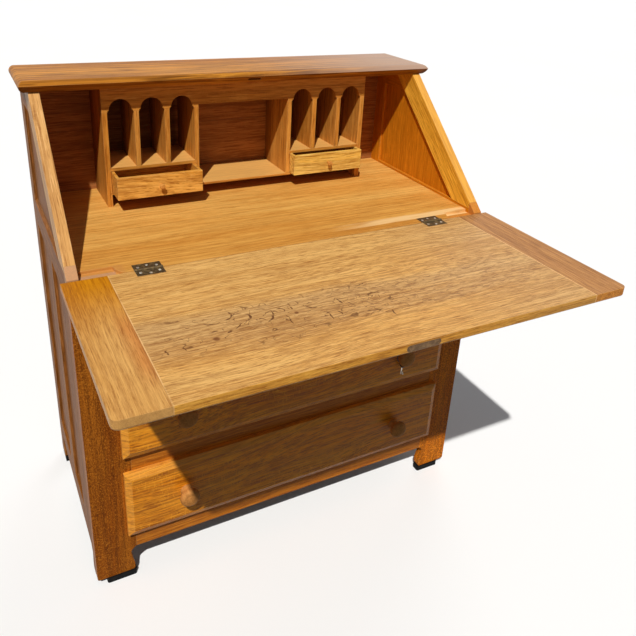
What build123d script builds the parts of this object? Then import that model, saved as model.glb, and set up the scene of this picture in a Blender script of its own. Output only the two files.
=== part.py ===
from build123d import *
import os
from math import atan2, cos, radians, sin, tan

# Oak slant-front bureau, millimetres. X to the right, Y to the back, Z up, floor at Z = 0.
# The case front is Y = 0 while modelling; place() moves the finished desk over the origin.

# carcass
CASE_W = 900.0
CASE_D = 452.0
BOARD = 20.0
PAD_T = 13.0
FOOT_H = 63.5
STILE_W = 85.0
RAIL_TENON = 18.0
TENON_T = 8.0
TENON_SHOULDER = 9.0
TONGUE_T = 6.0
TONGUE_D = 8.0
PANEL_T = 8.0
GROOVE = 8.0
GROOVE_END = 1.0
CUT_PAST = 1.0

# shaped feet: cove under the rail, drawn-in neck, then a toe that swells again
FOOT_NECK = 12.5
FOOT_COVE = 14.0
FOOT_COVE_BOW = 0.6
FOOT_COVE_DROP = 0.4
FOOT_BELLY = 0.5
FOOT_TOE = 6.0
FOOT_TOE_H = 18.0
FOOT_ROUND = 5.0
SIDE_FOOT_W = 26.0
PAD_FRONT_W = 62.5
PAD_FRONT_D = 22.0
PAD_FRONT_IN = 19.5
PAD_FRONT_PROUD = 3.0
PAD_REAR_W = 41.0
PAD_REAR_D = 46.0
PAD_REAR_IN = 1.0
PAD_ROUND = 5.0

# writing bed and fall
BED_TOP = 722.0
BED_T = 18.0
BED_RAIL_D = 30.0
BED_RAIL_H = 46.5
SLANT = 41.87
FALL_OVER = 11.0
FALL_T = 18.0
FALL_END_W = 78.0
FALL_ARRIS = 5.0
FALL_CORNER = 12.0
FALL_TONGUE = 10.0
FALL_TONGUE_T = 6.0
SEAT_GAP = 0.3
REBATE_D = 6.0
REBATE_RUN = 13.0
REBATE_TAIL = 3.0
REBATE_BOW_Y = 12.0

# top board
TOP_OVER = 16.5
TOP_BACK_OVER = 6.0
TOP_D = 164.6
TOP_T = 22.0
NOSE_OFFSET = 4.5
NOSE_GAP = 1.0

# side frames
SIDE_FRONT_STILE_W = 84.0
SIDE_REAR_STILE_W = 50.0
SIDE_STILE_TENON_W = 44.0
SIDE_MUNTIN_SHIFT = 20.0
SIDE_MUNTIN_W = 56.0
SLANT_STILE_W = 52.0
SIDE_TOP_RAIL_H = 45.0
SIDE_MID_RAIL_H = 58.0
SIDE_MID_RAIL_RISE = 6.0
SIDE_CHAMFER = 5.0
BACK_REBATE = 8.0
BACK_SETBACK = 12.0
BACK_FOOT_GAP = 92.0
BACK_TOP_BOARD_H = 120.0
BACK_BOARD_H = 101.4
BACK_JOINT = 0.4

# drawer bank
DRAWERS = 3
DRAWER_RAIL_H = 61.5
BOTTOM_RAIL_H = 53.5
FRONT_T = 16.0
FRONT_LAP = 10.0
FRONT_SIDE_LAP = 17.0
FRONT_BEVEL_W = 13.0
FRONT_BEVEL_D = 6.0
LIP_GAP = 0.3
BOX_SIDE_GAP = 3.0
BOX_TOP_GAP = 6.0
BOX_BACK_GAP = 20.0
BOX_T = 12.0
BOX_TONGUE = 6.0
BOX_FLOOR_T = 5.0
BOX_FLOOR_UP = 8.0
SLIDE_GAP = 0.3
RUNNER_T = 18.0
RUNNER_REACH = 25.0
GUIDE_H = 22.0
KNOB_IN = 123.5
KNOB_RISE = 2.0

# lopers
LOPER_IN = 39.0
LOPER_W = 24.0
LOPER_H = 59.5
LOPER_BACK_GAP = 25.0
LOPER_OUT = 270.0
LOPER_GAP = 0.4
LOPER_WALL = 13.0
LOPER_FLOOR_T = 18.0

# hinges
HINGE_IN = 54.5
HINGE_L = 50.8
LEAF_W = 23.5
LEAF_T = 1.8
KNUCKLE_R = 2.8
KNUCKLES = 5
KNUCKLE_GAP = 0.2
KNUCKLE_CLEAR = 0.4
PIN_R = 1.25
PIN_FIT = 0.05
AXIS_OUT = 1.5
FALL_GAP = 3.0
SINK_HEAD_R = 3.2
SINK_FOOT_R = 1.4
HOLES_PER_LEAF = 3
HOLE_REACH = 0.58
HOLE_STAGGER = 2.5

# lock
LOCK_X = 9.0
LOCK_PLATE_L = 64.0
LOCK_PLATE_H = 11.0
LOCK_PLATE_T = 2.5
LOCK_CASE_W = 42.0
LOCK_CASE_D = 36.0
LOCK_WALL = 2.5
BOLT_W = 28.0
BOLT_T = 5.0
BOLT_D = 24.0
BOLT_THROW = 8.0
BOLT_FIT = 0.3
STRIKE_FIT = 0.8
LOCK_HOLE_X = 26.0
KEYHOLE_R = 2.6
KEYHOLE_BACK = 20.0
KEYHOLE_SLOT_W = 2.6
KEYHOLE_SLOT_L = 8.0

# gallery
GALLERY_D = 124.0
CENTRE_HALF = 107.5
CENTRE_WALL_T = 10.0
HOLE_W = 54.5
PARTITION_T = 10.5
END_T = 11.0
HOLES = 3
GALLERY_FLOOR_UP = 26.0
GALLERY_FLOOR_T = 5.0
SHELF_UP = 79.0
SHELF_T = 7.0
SHELF_HOUSING = 3.0
HEADER_T = 10.0
HEADER_H = 54.3
HEADER_CENTRE_RISE = 6.0
ARCH_R = 23.5
ARCH_STEP_W = 52.0
ARCH_STEP_H = 3.0

# small drawers
SMALL_GAP = 0.5
SMALL_FRONT_T = 9.0
SMALL_WALL_T = 6.0
SMALL_FLOOR_T = 3.0
SMALL_FLOOR_UP = 4.0
SMALL_TONGUE = 3.0
SMALL_BACK_GAP = 12.0
LEFT_SMALL_OUT = 52.0
RIGHT_SMALL_OUT = 25.0

# turned knobs, each a list of (radius, distance in front of the drawer), spigot first
KNOB_FIT = 0.05
KNOB_SPIGOT_R = 6.0
KNOB_NECK_R = 9.5
KNOB = [
    (KNOB_SPIGOT_R, -FRONT_T), (KNOB_SPIGOT_R, 0.0), (13.0, 0.0), (KNOB_NECK_R, 4.5), (KNOB_NECK_R, 12.0),
    (19.6, 19.0), (20.8, 24.0), (18.5, 31.5), (10.0, 34.5),
]
SMALL_SPIGOT_R = 2.5
SMALL_KNOB = [
    (SMALL_SPIGOT_R, -SMALL_FRONT_T), (SMALL_SPIGOT_R, 4.0), (5.8, 8.0), (5.8, 10.0), (4.2, 12.0),
]

# key on the middle drawer's right knob
RING_R = 15.0
RING_WIRE = 0.9
RING_OUT = 9.0
KEY_BOW_R = 8.5
KEY_EYE_R = 4.2
KEY_EYE_UP = 2.6
KEY_BOW_T = 4.2
KEY_T = 2.2
KEY_SHANK_R = 1.7
KEY_SHANK_L = 24.0
KEY_BIT = 6.0
HANG_GAP = 0.15

# derived levels
HALF = CASE_W / 2
INNER = HALF - BOARD
OPENING = HALF - STILE_W
RAIL_FOOT = PAD_T + FOOT_H
ROUND_MID = FOOT_ROUND * (1 - cos(radians(45)))
BED_UNDER = BED_TOP - BED_T
AXIS_Y = -AXIS_OUT
FALL_BACK = -FALL_GAP
FALL_W = CASE_W + 2 * FALL_OVER
FALL_UNDER = BED_TOP - FALL_T
END_X = FALL_W / 2 - FALL_END_W
THETA = radians(SLANT)
NOSE_R = TOP_T / 2
TOP_W = CASE_W + 2 * TOP_OVER
TOP_BACK = CASE_D + TOP_BACK_OVER
NOSE_Y = TOP_BACK - TOP_D
NOSE_RUN = (NOSE_Y - AXIS_Y + NOSE_OFFSET * sin(THETA)) / cos(THETA)
STRIKE_RUN = NOSE_RUN - NOSE_R
FALL_REACH = STRIKE_RUN - NOSE_GAP
FALL_FRONT = AXIS_Y - FALL_REACH
NOSE_Z = BED_TOP + NOSE_RUN * sin(THETA) + NOSE_OFFSET * cos(THETA)
TOP_UNDER = NOSE_Z - NOSE_R
CLOSE_ANGLE = 180.0 - SLANT
MID_TOP = BED_TOP + SIDE_MID_RAIL_RISE
MID_FOOT = MID_TOP - SIDE_MID_RAIL_H
SIDE_FRONT_END = BOARD + SIDE_FRONT_STILE_W
SIDE_FOOT_Y = BOARD + SIDE_FOOT_W
SIDE_REAR_START = CASE_D - SIDE_REAR_STILE_W
BACK_FACE = CASE_D - BACK_SETBACK
TOP_RAIL_FOOT = TOP_UNDER - SIDE_TOP_RAIL_H
SIDE_MUNTIN_Y = (SIDE_FRONT_END + SIDE_REAR_START - SIDE_MUNTIN_W) / 2 - SIDE_MUNTIN_SHIFT
BANK_FOOT = RAIL_FOOT + BOTTOM_RAIL_H
BANK_H = BED_TOP - BED_RAIL_H - BANK_FOOT
OPEN_H = (BANK_H - (DRAWERS - 1) * DRAWER_RAIL_H) / DRAWERS
FRONT_W = 2 * (OPENING + FRONT_SIDE_LAP)
FRONT_H = OPEN_H + 2 * FRONT_LAP
FRONT_PITCH = OPEN_H + DRAWER_RAIL_H
FRONT_BASE = BANK_FOOT - FRONT_LAP
BOX_BACK = BACK_FACE - BOX_BACK_GAP
KNOB_X = FRONT_W / 2 - KNOB_IN
LOPER_X = HALF - LOPER_IN - LOPER_W
LOPER_WALL_X = LOPER_X - LOPER_WALL
LOPER_L = BACK_FACE - LOPER_BACK_GAP
HINGE_X = OPENING - HINGE_IN
GALLERY_FRONT = BACK_FACE - GALLERY_D
SMALL_D = GALLERY_D - SMALL_BACK_GAP
PANEL_IN = INNER + (BOARD - PANEL_T) / 2
PANEL_OUT = PANEL_IN + PANEL_T
MID_Y = (FALL_FRONT + TOP_BACK) / 2


def box(x0, x1, y0, y1, z0, z1):
    centre = Pos((x0 + x1) / 2, (y0 + y1) / 2, (z0 + z1) / 2)
    return centre * Box(abs(x1 - x0), abs(y1 - y0), abs(z1 - z0))


def slab_yz(points, x0, x1):
    face = Plane.YZ.offset(x0) * Polygon(*points, align=None)
    return extrude(face, amount=x1 - x0, dir=(1, 0, 0))


def face_yz(face, x0, x1):
    return extrude(Plane.YZ.offset(x0) * face, amount=x1 - x0, dir=(1, 0, 0))


def face_xz(face, y0, y1):
    return extrude(Plane.XZ.offset(-y0) * face, amount=y1 - y0, dir=(0, 1, 0))


def rod_x(radius, x0, x1, y, z):
    return Pos((x0 + x1) / 2, y, z) * Rot(0, 90, 0) * Cylinder(radius, x1 - x0)


def rod_y(radius, y0, y1, x, z):
    return Pos(x, (y0 + y1) / 2, z) * Rot(90, 0, 0) * Cylinder(radius, y1 - y0)


def other_side(shape):
    return mirror(shape, about=Plane.YZ)


def place(shape):
    return Pos(0, -MID_Y, 0) * shape


def node(name, *solids):
    placed = [place(s) for s in solids]
    shape = placed[0] if len(placed) == 1 else Compound(children=placed)
    export_step(shape, "parts/" + name + ".step")


def pair(name, shape):
    node(name, shape, other_side(shape))


def slant_z(y, inset=SEAT_GAP):
    return BED_TOP + (y - AXIS_Y) * tan(THETA) - inset / cos(THETA)


def slant_y(z, inset=SEAT_GAP):
    return AXIS_Y + (z - BED_TOP + inset / cos(THETA)) / tan(THETA)


def closed(shape):
    return shape.rotate(Axis((0, AXIS_Y, BED_TOP), (1, 0, 0)), -CLOSE_ANGLE)


os.makedirs("parts", exist_ok=True)


def foot_edge(inner, sign):
    """Foot profile from the rail's underside to the floor, swelling towards sign."""
    neck = inner - sign * FOOT_NECK
    toe = inner - sign * FOOT_TOE
    cove_mid = (inner - sign * FOOT_NECK * FOOT_COVE_BOW, RAIL_FOOT - FOOT_COVE * FOOT_COVE_DROP)
    knee = (neck, RAIL_FOOT - FOOT_COVE)
    swell = (toe, PAD_T + FOOT_TOE_H)
    belly = ((neck + toe) / 2 - sign * FOOT_BELLY, (knee[1] + swell[1]) / 2)
    heel = (toe - sign * FOOT_ROUND, PAD_T)
    toe_low = (toe, PAD_T + FOOT_ROUND)
    toe_mid = (toe - sign * ROUND_MID, PAD_T + ROUND_MID)
    line = ThreePointArc((inner, RAIL_FOOT), cove_mid, knee)
    line += Spline(knee, belly, swell)
    line += Line(swell, toe_low)
    line += ThreePointArc(toe_low, toe_mid, heel)
    return line, heel


def outer_heel(outer, sign):
    """Rounded bottom corner at the outside of a foot."""
    start = (outer - sign * FOOT_ROUND, PAD_T)
    end = (outer, PAD_T + FOOT_ROUND)
    mid = (outer - sign * ROUND_MID, PAD_T + ROUND_MID)
    return ThreePointArc(start, mid, end), start, end


def rail_tenons(z0, z1, depth):
    y0 = (BOARD - TENON_T) / 2
    reach = OPENING + depth
    return box(-reach, reach, y0, y0 + TENON_T, z0 + TENON_SHOULDER, z1 - TENON_SHOULDER)


# front rails of the face frame
rail_spans = [(RAIL_FOOT, BANK_FOOT)]
for level in range(1, DRAWERS):
    rail_top = BANK_FOOT + level * FRONT_PITCH
    rail_spans.append((rail_top - DRAWER_RAIL_H, rail_top))
bed_rail_span = (BED_TOP - BED_RAIL_H, BED_TOP)
front_rails = []
for z0, z1 in rail_spans:
    front_rails.append(box(-OPENING, OPENING, 0, BOARD, z0, z1) + rail_tenons(z0, z1, RAIL_TENON))
bed_tenons = rail_tenons(*bed_rail_span, RAIL_TENON)

# shallow rebate at both ends of the bed's front edge, run out in a curve
rebate_start = (OPENING - REBATE_RUN, -CUT_PAST)
rebate_end = (OPENING + REBATE_TAIL, BED_RAIL_D)
rebate_face = make_face(
    Polyline(rebate_start, (INNER, -CUT_PAST), (INNER, BED_RAIL_D), rebate_end)
    + ThreePointArc(rebate_end, (OPENING - REBATE_TAIL, REBATE_BOW_Y), rebate_start)
)
rebate = Pos(0, 0, BED_TOP - REBATE_D) * extrude(rebate_face, amount=REBATE_D + CUT_PAST, dir=(0, 0, 1))

# loper with its slot through the front stile
loper_top = FALL_UNDER - SEAT_GAP
loper_foot = loper_top - LOPER_H
loper_slot = box(
    LOPER_X - LOPER_GAP, LOPER_X + LOPER_W + LOPER_GAP, -CUT_PAST, BOARD + CUT_PAST,
    loper_foot - LOPER_GAP, FALL_UNDER,
)
loper = box(LOPER_X, LOPER_X + LOPER_W, -LOPER_OUT, LOPER_L - LOPER_OUT, loper_foot, loper_top)
loper_floor = loper_foot - LOPER_GAP
loper_guide = box(LOPER_WALL_X, INNER, BOARD, BACK_FACE, loper_floor - LOPER_FLOOR_T, BED_UNDER)
loper_guide -= box(
    LOPER_X - LOPER_GAP, LOPER_X + LOPER_W + LOPER_GAP, BOARD, BACK_FACE, loper_floor, BED_UNDER
)

# front stile with its shaped foot, and the slant-cut horn beside the bed
edge, heel = foot_edge(OPENING, -1)
corner, corner_start, corner_end = outer_heel(HALF, 1)
stile_line = Polyline((HALF, BED_TOP), (OPENING, BED_TOP), (OPENING, RAIL_FOOT))
stile_line += edge
stile_line += Line(heel, corner_start)
stile_line += corner
stile_line += Line(corner_end, (HALF, BED_TOP))
front_stile = face_xz(make_face(stile_line), 0, BOARD)
front_stile -= rebate
horn = [(0, BED_TOP - REBATE_D), (BOARD, BED_TOP - REBATE_D), (BOARD, slant_z(BOARD)), (0, slant_z(0))]
front_stile += slab_yz(horn, INNER, HALF)
front_stile -= loper_slot
for rail in front_rails:
    front_stile -= rail
front_stile -= bed_tenons

# frame-and-panel side, drawn once for the right hand
tongue_x = INNER + (BOARD - TONGUE_T) / 2
foot_line = Polyline((BOARD, PAD_T), (BOARD, MID_FOOT), (SIDE_FRONT_END, MID_FOOT))
foot_line += Polyline((SIDE_FRONT_END, MID_FOOT), (SIDE_FRONT_END, RAIL_FOOT), (SIDE_FOOT_Y, RAIL_FOOT))
edge, heel = foot_edge(SIDE_FOOT_Y, 1)
foot_line += edge
foot_line += Line(heel, (BOARD, PAD_T))
side_front = face_yz(make_face(foot_line), INNER, HALF)
side_front += box(tongue_x, tongue_x + TONGUE_T, BOARD - TONGUE_D, BOARD, RAIL_FOOT, MID_FOOT - BOARD)
side_tenon_in = (SIDE_FRONT_STILE_W - SIDE_STILE_TENON_W) / 2
side_front += box(
    PANEL_IN, PANEL_OUT, BOARD + side_tenon_in, SIDE_FRONT_END - side_tenon_in,
    MID_FOOT, MID_FOOT + RAIL_TENON,
)

edge, heel = foot_edge(SIDE_REAR_START, -1)
corner, corner_start, corner_end = outer_heel(CASE_D, 1)
rear_line = Polyline((CASE_D, TOP_UNDER), (SIDE_REAR_START, TOP_UNDER), (SIDE_REAR_START, RAIL_FOOT))
rear_line += edge
rear_line += Line(heel, corner_start)
rear_line += corner
rear_line += Line(corner_end, (CASE_D, TOP_UNDER))
rear_stile = face_yz(make_face(rear_line), INNER, HALF)
rear_stile -= box(INNER, INNER + BACK_REBATE, BACK_FACE, CASE_D, BACK_FOOT_GAP, TOP_UNDER)

slant_shift = SLANT_STILE_W / sin(THETA)
slant_inner_foot = slant_y(MID_TOP) + slant_shift
slant_inner_head = slant_y(TOP_UNDER) + slant_shift
slant_points = [
    (BOARD, MID_TOP), (BOARD, slant_z(BOARD)), (slant_y(TOP_UNDER), TOP_UNDER),
    (slant_inner_head, TOP_UNDER), (slant_inner_foot, MID_TOP),
]
slant_stile = slab_yz(slant_points, INNER, HALF)
top_rail_points = [
    (slant_y(TOP_RAIL_FOOT) + slant_shift, TOP_RAIL_FOOT), (SIDE_REAR_START, TOP_RAIL_FOOT),
    (SIDE_REAR_START, TOP_UNDER), (slant_inner_head, TOP_UNDER),
]
top_rail = slab_yz(top_rail_points, INNER, HALF)
top_rail_tenon = box(
    PANEL_IN, PANEL_OUT, SIDE_REAR_START, SIDE_REAR_START + RAIL_TENON,
    TOP_RAIL_FOOT + TENON_SHOULDER, TOP_UNDER - TENON_SHOULDER,
)
top_rail += top_rail_tenon
rear_stile -= top_rail_tenon

mid_rail = box(INNER, HALF, BOARD, SIDE_REAR_START, MID_FOOT, MID_TOP)
mid_tenon = box(
    PANEL_IN, PANEL_OUT, SIDE_REAR_START, SIDE_REAR_START + RAIL_TENON,
    MID_FOOT + TENON_SHOULDER, BED_UNDER - TENON_SHOULDER / 2,
)
mid_tongue = box(tongue_x, tongue_x + TONGUE_T, BOARD - TONGUE_D, BOARD, MID_FOOT, BED_UNDER)
bed_housing = box(INNER, INNER + GROOVE, BED_RAIL_D, BACK_FACE, BED_UNDER, BED_TOP)
chamfer_points = [(HALF, MID_TOP - SIDE_CHAMFER), (HALF, MID_TOP), (HALF - SIDE_CHAMFER, MID_TOP)]
chamfer_face = Polygon(*chamfer_points, align=None)
mid_rail -= face_xz(chamfer_face, slant_inner_foot, SIDE_REAR_START)
mid_rail += mid_tenon
mid_rail += mid_tongue
mid_rail -= side_front
mid_rail -= bed_housing
rear_stile -= mid_tenon
rear_stile -= bed_housing
front_stile -= side_front
front_stile -= mid_tongue

low_rail = box(INNER, HALF, SIDE_FRONT_END, SIDE_REAR_START, RAIL_FOOT, BANK_FOOT)
low_tenons = box(
    PANEL_IN, PANEL_OUT, SIDE_FRONT_END - RAIL_TENON, SIDE_REAR_START + RAIL_TENON,
    RAIL_FOOT + TENON_SHOULDER, BANK_FOOT - 2 * TENON_SHOULDER,
)
low_rail += low_tenons
side_front -= low_tenons
rear_stile -= low_tenons

muntin_end = SIDE_MUNTIN_Y + SIDE_MUNTIN_W
muntin = box(INNER, HALF, SIDE_MUNTIN_Y, muntin_end, BANK_FOOT, MID_FOOT)
muntin += box(
    PANEL_IN, PANEL_OUT, SIDE_MUNTIN_Y + GROOVE + TENON_SHOULDER, muntin_end - GROOVE - TENON_SHOULDER,
    BANK_FOOT - RAIL_TENON / 2, MID_FOOT + RAIL_TENON / 2,
)
low_rail -= muntin
mid_rail -= muntin

lower_panels = []
for y0, y1 in ((SIDE_FRONT_END, SIDE_MUNTIN_Y), (muntin_end, SIDE_REAR_START)):
    lower_panels.append(
        box(PANEL_IN, PANEL_OUT, y0 - GROOVE, y1 + GROOVE, BANK_FOOT - GROOVE, MID_FOOT + GROOVE)
    )
    room = GROOVE + GROOVE_END
    slot = box(PANEL_IN, PANEL_OUT, y0 - room, y1 + room, BANK_FOOT - room, MID_FOOT + room)
    side_front -= slot
    rear_stile -= slot
    muntin -= slot
    low_rail -= slot
    mid_rail -= slot

upper_opening = Polygon(
    (slant_inner_foot, MID_TOP), (slant_y(TOP_RAIL_FOOT) + slant_shift, TOP_RAIL_FOOT),
    (SIDE_REAR_START, TOP_RAIL_FOOT), (SIDE_REAR_START, MID_TOP), align=None,
)
upper_panel_face = offset(upper_opening, amount=GROOVE, kind=Kind.INTERSECTION)
upper_slot_face = offset(upper_opening, amount=GROOVE + GROOVE_END, kind=Kind.INTERSECTION)
upper_panel = face_yz(upper_panel_face, PANEL_IN, PANEL_OUT)
upper_slot = face_yz(upper_slot_face, PANEL_IN, PANEL_OUT)
upper_panel -= box(INNER, INNER + GROOVE, 0, CASE_D, MID_TOP - GROOVE, BED_TOP)
slant_stile -= upper_slot
top_rail -= upper_slot
mid_rail -= upper_slot
rear_stile -= upper_slot

# writing bed, housed in the sides, with ears that pass behind the front stiles
writing_bed = box(-INNER - GROOVE, INNER + GROOVE, BED_RAIL_D, BACK_FACE, BED_UNDER, BED_TOP)
ear = box(OPENING, INNER, BOARD, BED_RAIL_D, BED_UNDER, BED_TOP) - rebate
writing_bed += ear
writing_bed += other_side(ear)
bed_rail = box(-OPENING, OPENING, 0, BED_RAIL_D, *bed_rail_span) + bed_tenons
bed_rail -= rebate
bed_rail -= other_side(rebate)

# butt hinges: three knuckles on the case leaf, two on the fall leaf
knuckle_l = HINGE_L / KNUCKLES


def hinge_leaf(sign, first):
    """Leaf on the case (sign 1) or on the fall (sign -1) for the right-hand hinge."""
    left = HINGE_X - HINGE_L / 2
    far = AXIS_Y + sign * LEAF_W
    low, high = min(AXIS_Y, far), max(AXIS_Y, far)
    leaf = box(left, left + HINGE_L, low, high, BED_TOP - LEAF_T, BED_TOP)
    for k in range(KNUCKLES):
        x0 = left + k * knuckle_l
        if k % 2 == first:
            own = rod_x(KNUCKLE_R, x0 + KNUCKLE_GAP / 2, x0 + knuckle_l - KNUCKLE_GAP / 2, AXIS_Y, BED_TOP)
            leaf += own
        else:
            room = KNUCKLE_R + KNUCKLE_CLEAR
            leaf -= box(
                x0 - KNUCKLE_GAP / 2, x0 + knuckle_l + KNUCKLE_GAP / 2, AXIS_Y - room, AXIS_Y + room,
                BED_TOP - room, BED_TOP + room,
            )
    leaf -= rod_x(PIN_R + PIN_FIT, left - CUT_PAST, left + HINGE_L + CUT_PAST, AXIS_Y, BED_TOP)
    return leaf


def countersink(plate):
    """Screw hole through a plate whose top is at Z = 0."""
    return Pos(0, 0, -plate / 2) * Cone(SINK_FOOT_R, SINK_HEAD_R, plate)


def leaf_hole_spots(sign):
    reach = AXIS_Y + sign * LEAF_W * HOLE_REACH
    step = HINGE_L / HOLES_PER_LEAF
    spots = []
    for k in range(HOLES_PER_LEAF):
        stagger = HOLE_STAGGER if k % 2 else -HOLE_STAGGER
        spots.append(Pos(HINGE_X - HINGE_L / 2 + (k + 0.5) * step, reach + sign * stagger, BED_TOP))
    return spots


knuckle_room = rod_x(
    KNUCKLE_R + KNUCKLE_CLEAR, HINGE_X - HINGE_L / 2 - KNUCKLE_CLEAR, HINGE_X + HINGE_L / 2 + KNUCKLE_CLEAR,
    AXIS_Y, BED_TOP,
)


def leaf_bed(sign):
    left = HINGE_X - HINGE_L / 2
    far = AXIS_Y + sign * LEAF_W
    low, high = min(AXIS_Y, far), max(AXIS_Y, far)
    return box(left, left + HINGE_L, low, high, BED_TOP - LEAF_T, BED_TOP) + knuckle_room


case_leaf = hinge_leaf(1, 0)
fall_leaf = hinge_leaf(-1, 1)
hinge_pin = rod_x(PIN_R, HINGE_X - HINGE_L / 2, HINGE_X + HINGE_L / 2, AXIS_Y, BED_TOP)
case_cut = leaf_bed(1)
fall_cut = leaf_bed(-1)
for spot in leaf_hole_spots(1):
    case_leaf -= spot * countersink(LEAF_T)
for spot in leaf_hole_spots(-1):
    fall_leaf -= spot * countersink(LEAF_T)
bed_rail -= case_cut
bed_rail -= other_side(case_cut)

# fall: centre board with tongued ends across the grain
fall = box(-FALL_W / 2, FALL_W / 2, FALL_FRONT, FALL_BACK, FALL_UNDER, BED_TOP)
fall = fillet(fall.edges().filter_by(Axis.Z).sort_by(Axis.Y)[:2], FALL_CORNER)
under_edges = fall.edges().filter_by_position(Axis.Z, FALL_UNDER - CUT_PAST, FALL_UNDER + CUT_PAST)
fall = fillet(under_edges.sort_by(Axis.Y)[:-1], FALL_ARRIS)
fall_mid_z = BED_TOP - FALL_T / 2
fall_tongue = box(
    -END_X - FALL_TONGUE, END_X + FALL_TONGUE, FALL_FRONT + BOARD, FALL_BACK - BOARD,
    fall_mid_z - FALL_TONGUE_T / 2, fall_mid_z + FALL_TONGUE_T / 2,
)
fall_panel = fall & box(-END_X, END_X, FALL_FRONT, FALL_BACK, FALL_UNDER, BED_TOP)
fall_panel += fall_tongue
fall_right = fall & box(END_X, FALL_W, FALL_FRONT, FALL_BACK, FALL_UNDER, BED_TOP)
fall_right -= fall_tongue
fall_panel -= fall_cut
fall_panel -= other_side(fall_cut)

# mortise lock in the fall's front edge
plate_back = FALL_FRONT + LOCK_PLATE_T
case_back = plate_back + LOCK_CASE_D
half_case = LOCK_CASE_W / 2
lock_case = box(
    LOCK_X - half_case, LOCK_X + half_case, plate_back, case_back,
    fall_mid_z - LOCK_PLATE_H / 2, fall_mid_z + LOCK_PLATE_H / 2,
)
lock_room = lock_case
bolt = box(
    LOCK_X - BOLT_W / 2, LOCK_X + BOLT_W / 2, FALL_FRONT, FALL_FRONT + BOLT_D,
    fall_mid_z - BOLT_T / 2, fall_mid_z + BOLT_T / 2,
)
bolt_way = box(
    LOCK_X - BOLT_W / 2 - BOLT_FIT, LOCK_X + BOLT_W / 2 + BOLT_FIT,
    FALL_FRONT - CUT_PAST, case_back - LOCK_WALL,
    fall_mid_z - BOLT_T / 2 - BOLT_FIT, fall_mid_z + BOLT_T / 2 + BOLT_FIT,
)
keyhole_y = FALL_FRONT + KEYHOLE_BACK + BOLT_THROW
keyhole = Pos(LOCK_X, keyhole_y, FALL_UNDER) * Cylinder(KEYHOLE_R, FALL_T)
keyhole += box(
    LOCK_X - KEYHOLE_SLOT_W / 2, LOCK_X + KEYHOLE_SLOT_W / 2, keyhole_y, keyhole_y + KEYHOLE_SLOT_L,
    FALL_UNDER - CUT_PAST, fall_mid_z,
)
plate_face = Pos(LOCK_X, fall_mid_z) * SlotOverall(LOCK_PLATE_L, LOCK_PLATE_H)
lock_plate = face_xz(plate_face, FALL_FRONT, plate_back)
plate_room = lock_plate
lock_plate -= bolt_way
lock_case -= bolt_way
lock_case -= keyhole
for side in (-1, 1):
    spot = Pos(LOCK_X + side * LOCK_HOLE_X, FALL_FRONT, fall_mid_z) * Rot(90, 0, 0)
    lock_plate -= spot * countersink(LOCK_PLATE_T)
fall_panel -= plate_room
fall_panel -= lock_room
fall_panel -= keyhole
strike_room = box(
    LOCK_X - BOLT_W / 2 - STRIKE_FIT, LOCK_X + BOLT_W / 2 + STRIKE_FIT,
    FALL_FRONT - BOLT_THROW - STRIKE_FIT, FALL_FRONT + NOSE_R,
    fall_mid_z - BOLT_T / 2 - STRIKE_FIT, fall_mid_z + BOLT_T / 2 + STRIKE_FIT,
)


def nose_spot(out):
    """Point on the top board's front edge, out from the plane of the shut fall's inner face."""
    y = AXIS_Y + STRIKE_RUN * cos(THETA) - out * sin(THETA)
    return y, BED_TOP + STRIKE_RUN * sin(THETA) + out * cos(THETA)


# top board: its front rounds over to an arris level with the shut fall's outer face, and leans back
# under that to lie along the fall's edge; both ends are half round
strike_y, strike_z = nose_spot(0)
nose_foot = (strike_y + (strike_z - TOP_UNDER) * tan(THETA), TOP_UNDER)
arris = nose_spot(FALL_T)
top_face = TOP_UNDER + TOP_T
nose_drop = top_face - arris[1]
nose_reach = NOSE_Y - arris[0]
round_r = (nose_reach**2 + nose_drop**2) / (2 * nose_drop)
half_turn = atan2(nose_reach, round_r - nose_drop) / 2
round_mid = (NOSE_Y - round_r * sin(half_turn), top_face - round_r * (1 - cos(half_turn)))
top_line = Polyline(arris, nose_foot, (TOP_BACK, TOP_UNDER), (TOP_BACK, top_face), (NOSE_Y, top_face))
top_line += ThreePointArc((NOSE_Y, top_face), round_mid, arris)
top_board = face_yz(make_face(top_line), -TOP_W / 2, TOP_W / 2)
end_face = Pos(0, NOSE_Z) * SlotOverall(TOP_W, TOP_T)
top_board &= face_xz(end_face, arris[0] - CUT_PAST, TOP_BACK + CUT_PAST)
top_board -= closed(strike_room)

# horizontal back boards, laid from the top down, the last one cut to what is left
back_boards = []
board_top = TOP_UNDER
board_h = BACK_TOP_BOARD_H
while board_top > BACK_FOOT_GAP:
    board_foot = max(board_top - board_h, BACK_FOOT_GAP)
    back_boards.append(
        box(
            -INNER - BACK_REBATE, INNER + BACK_REBATE, BACK_FACE, BACK_FACE + PANEL_T,
            board_foot, board_top - BACK_JOINT,
        )
    )
    board_top = board_foot
    board_h = BACK_BOARD_H

# drawer runners with their side guides
runners = []
for level in range(DRAWERS):
    seat = BANK_FOOT + level * FRONT_PITCH
    run = box(OPENING - RUNNER_REACH, INNER, BOARD, BACK_FACE, seat - RUNNER_T, seat)
    run += box(OPENING - BOX_SIDE_GAP + SLIDE_GAP, INNER, BOARD, BACK_FACE, seat, seat + GUIDE_H)
    runners.append(run)
    runners.append(other_side(run))

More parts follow.
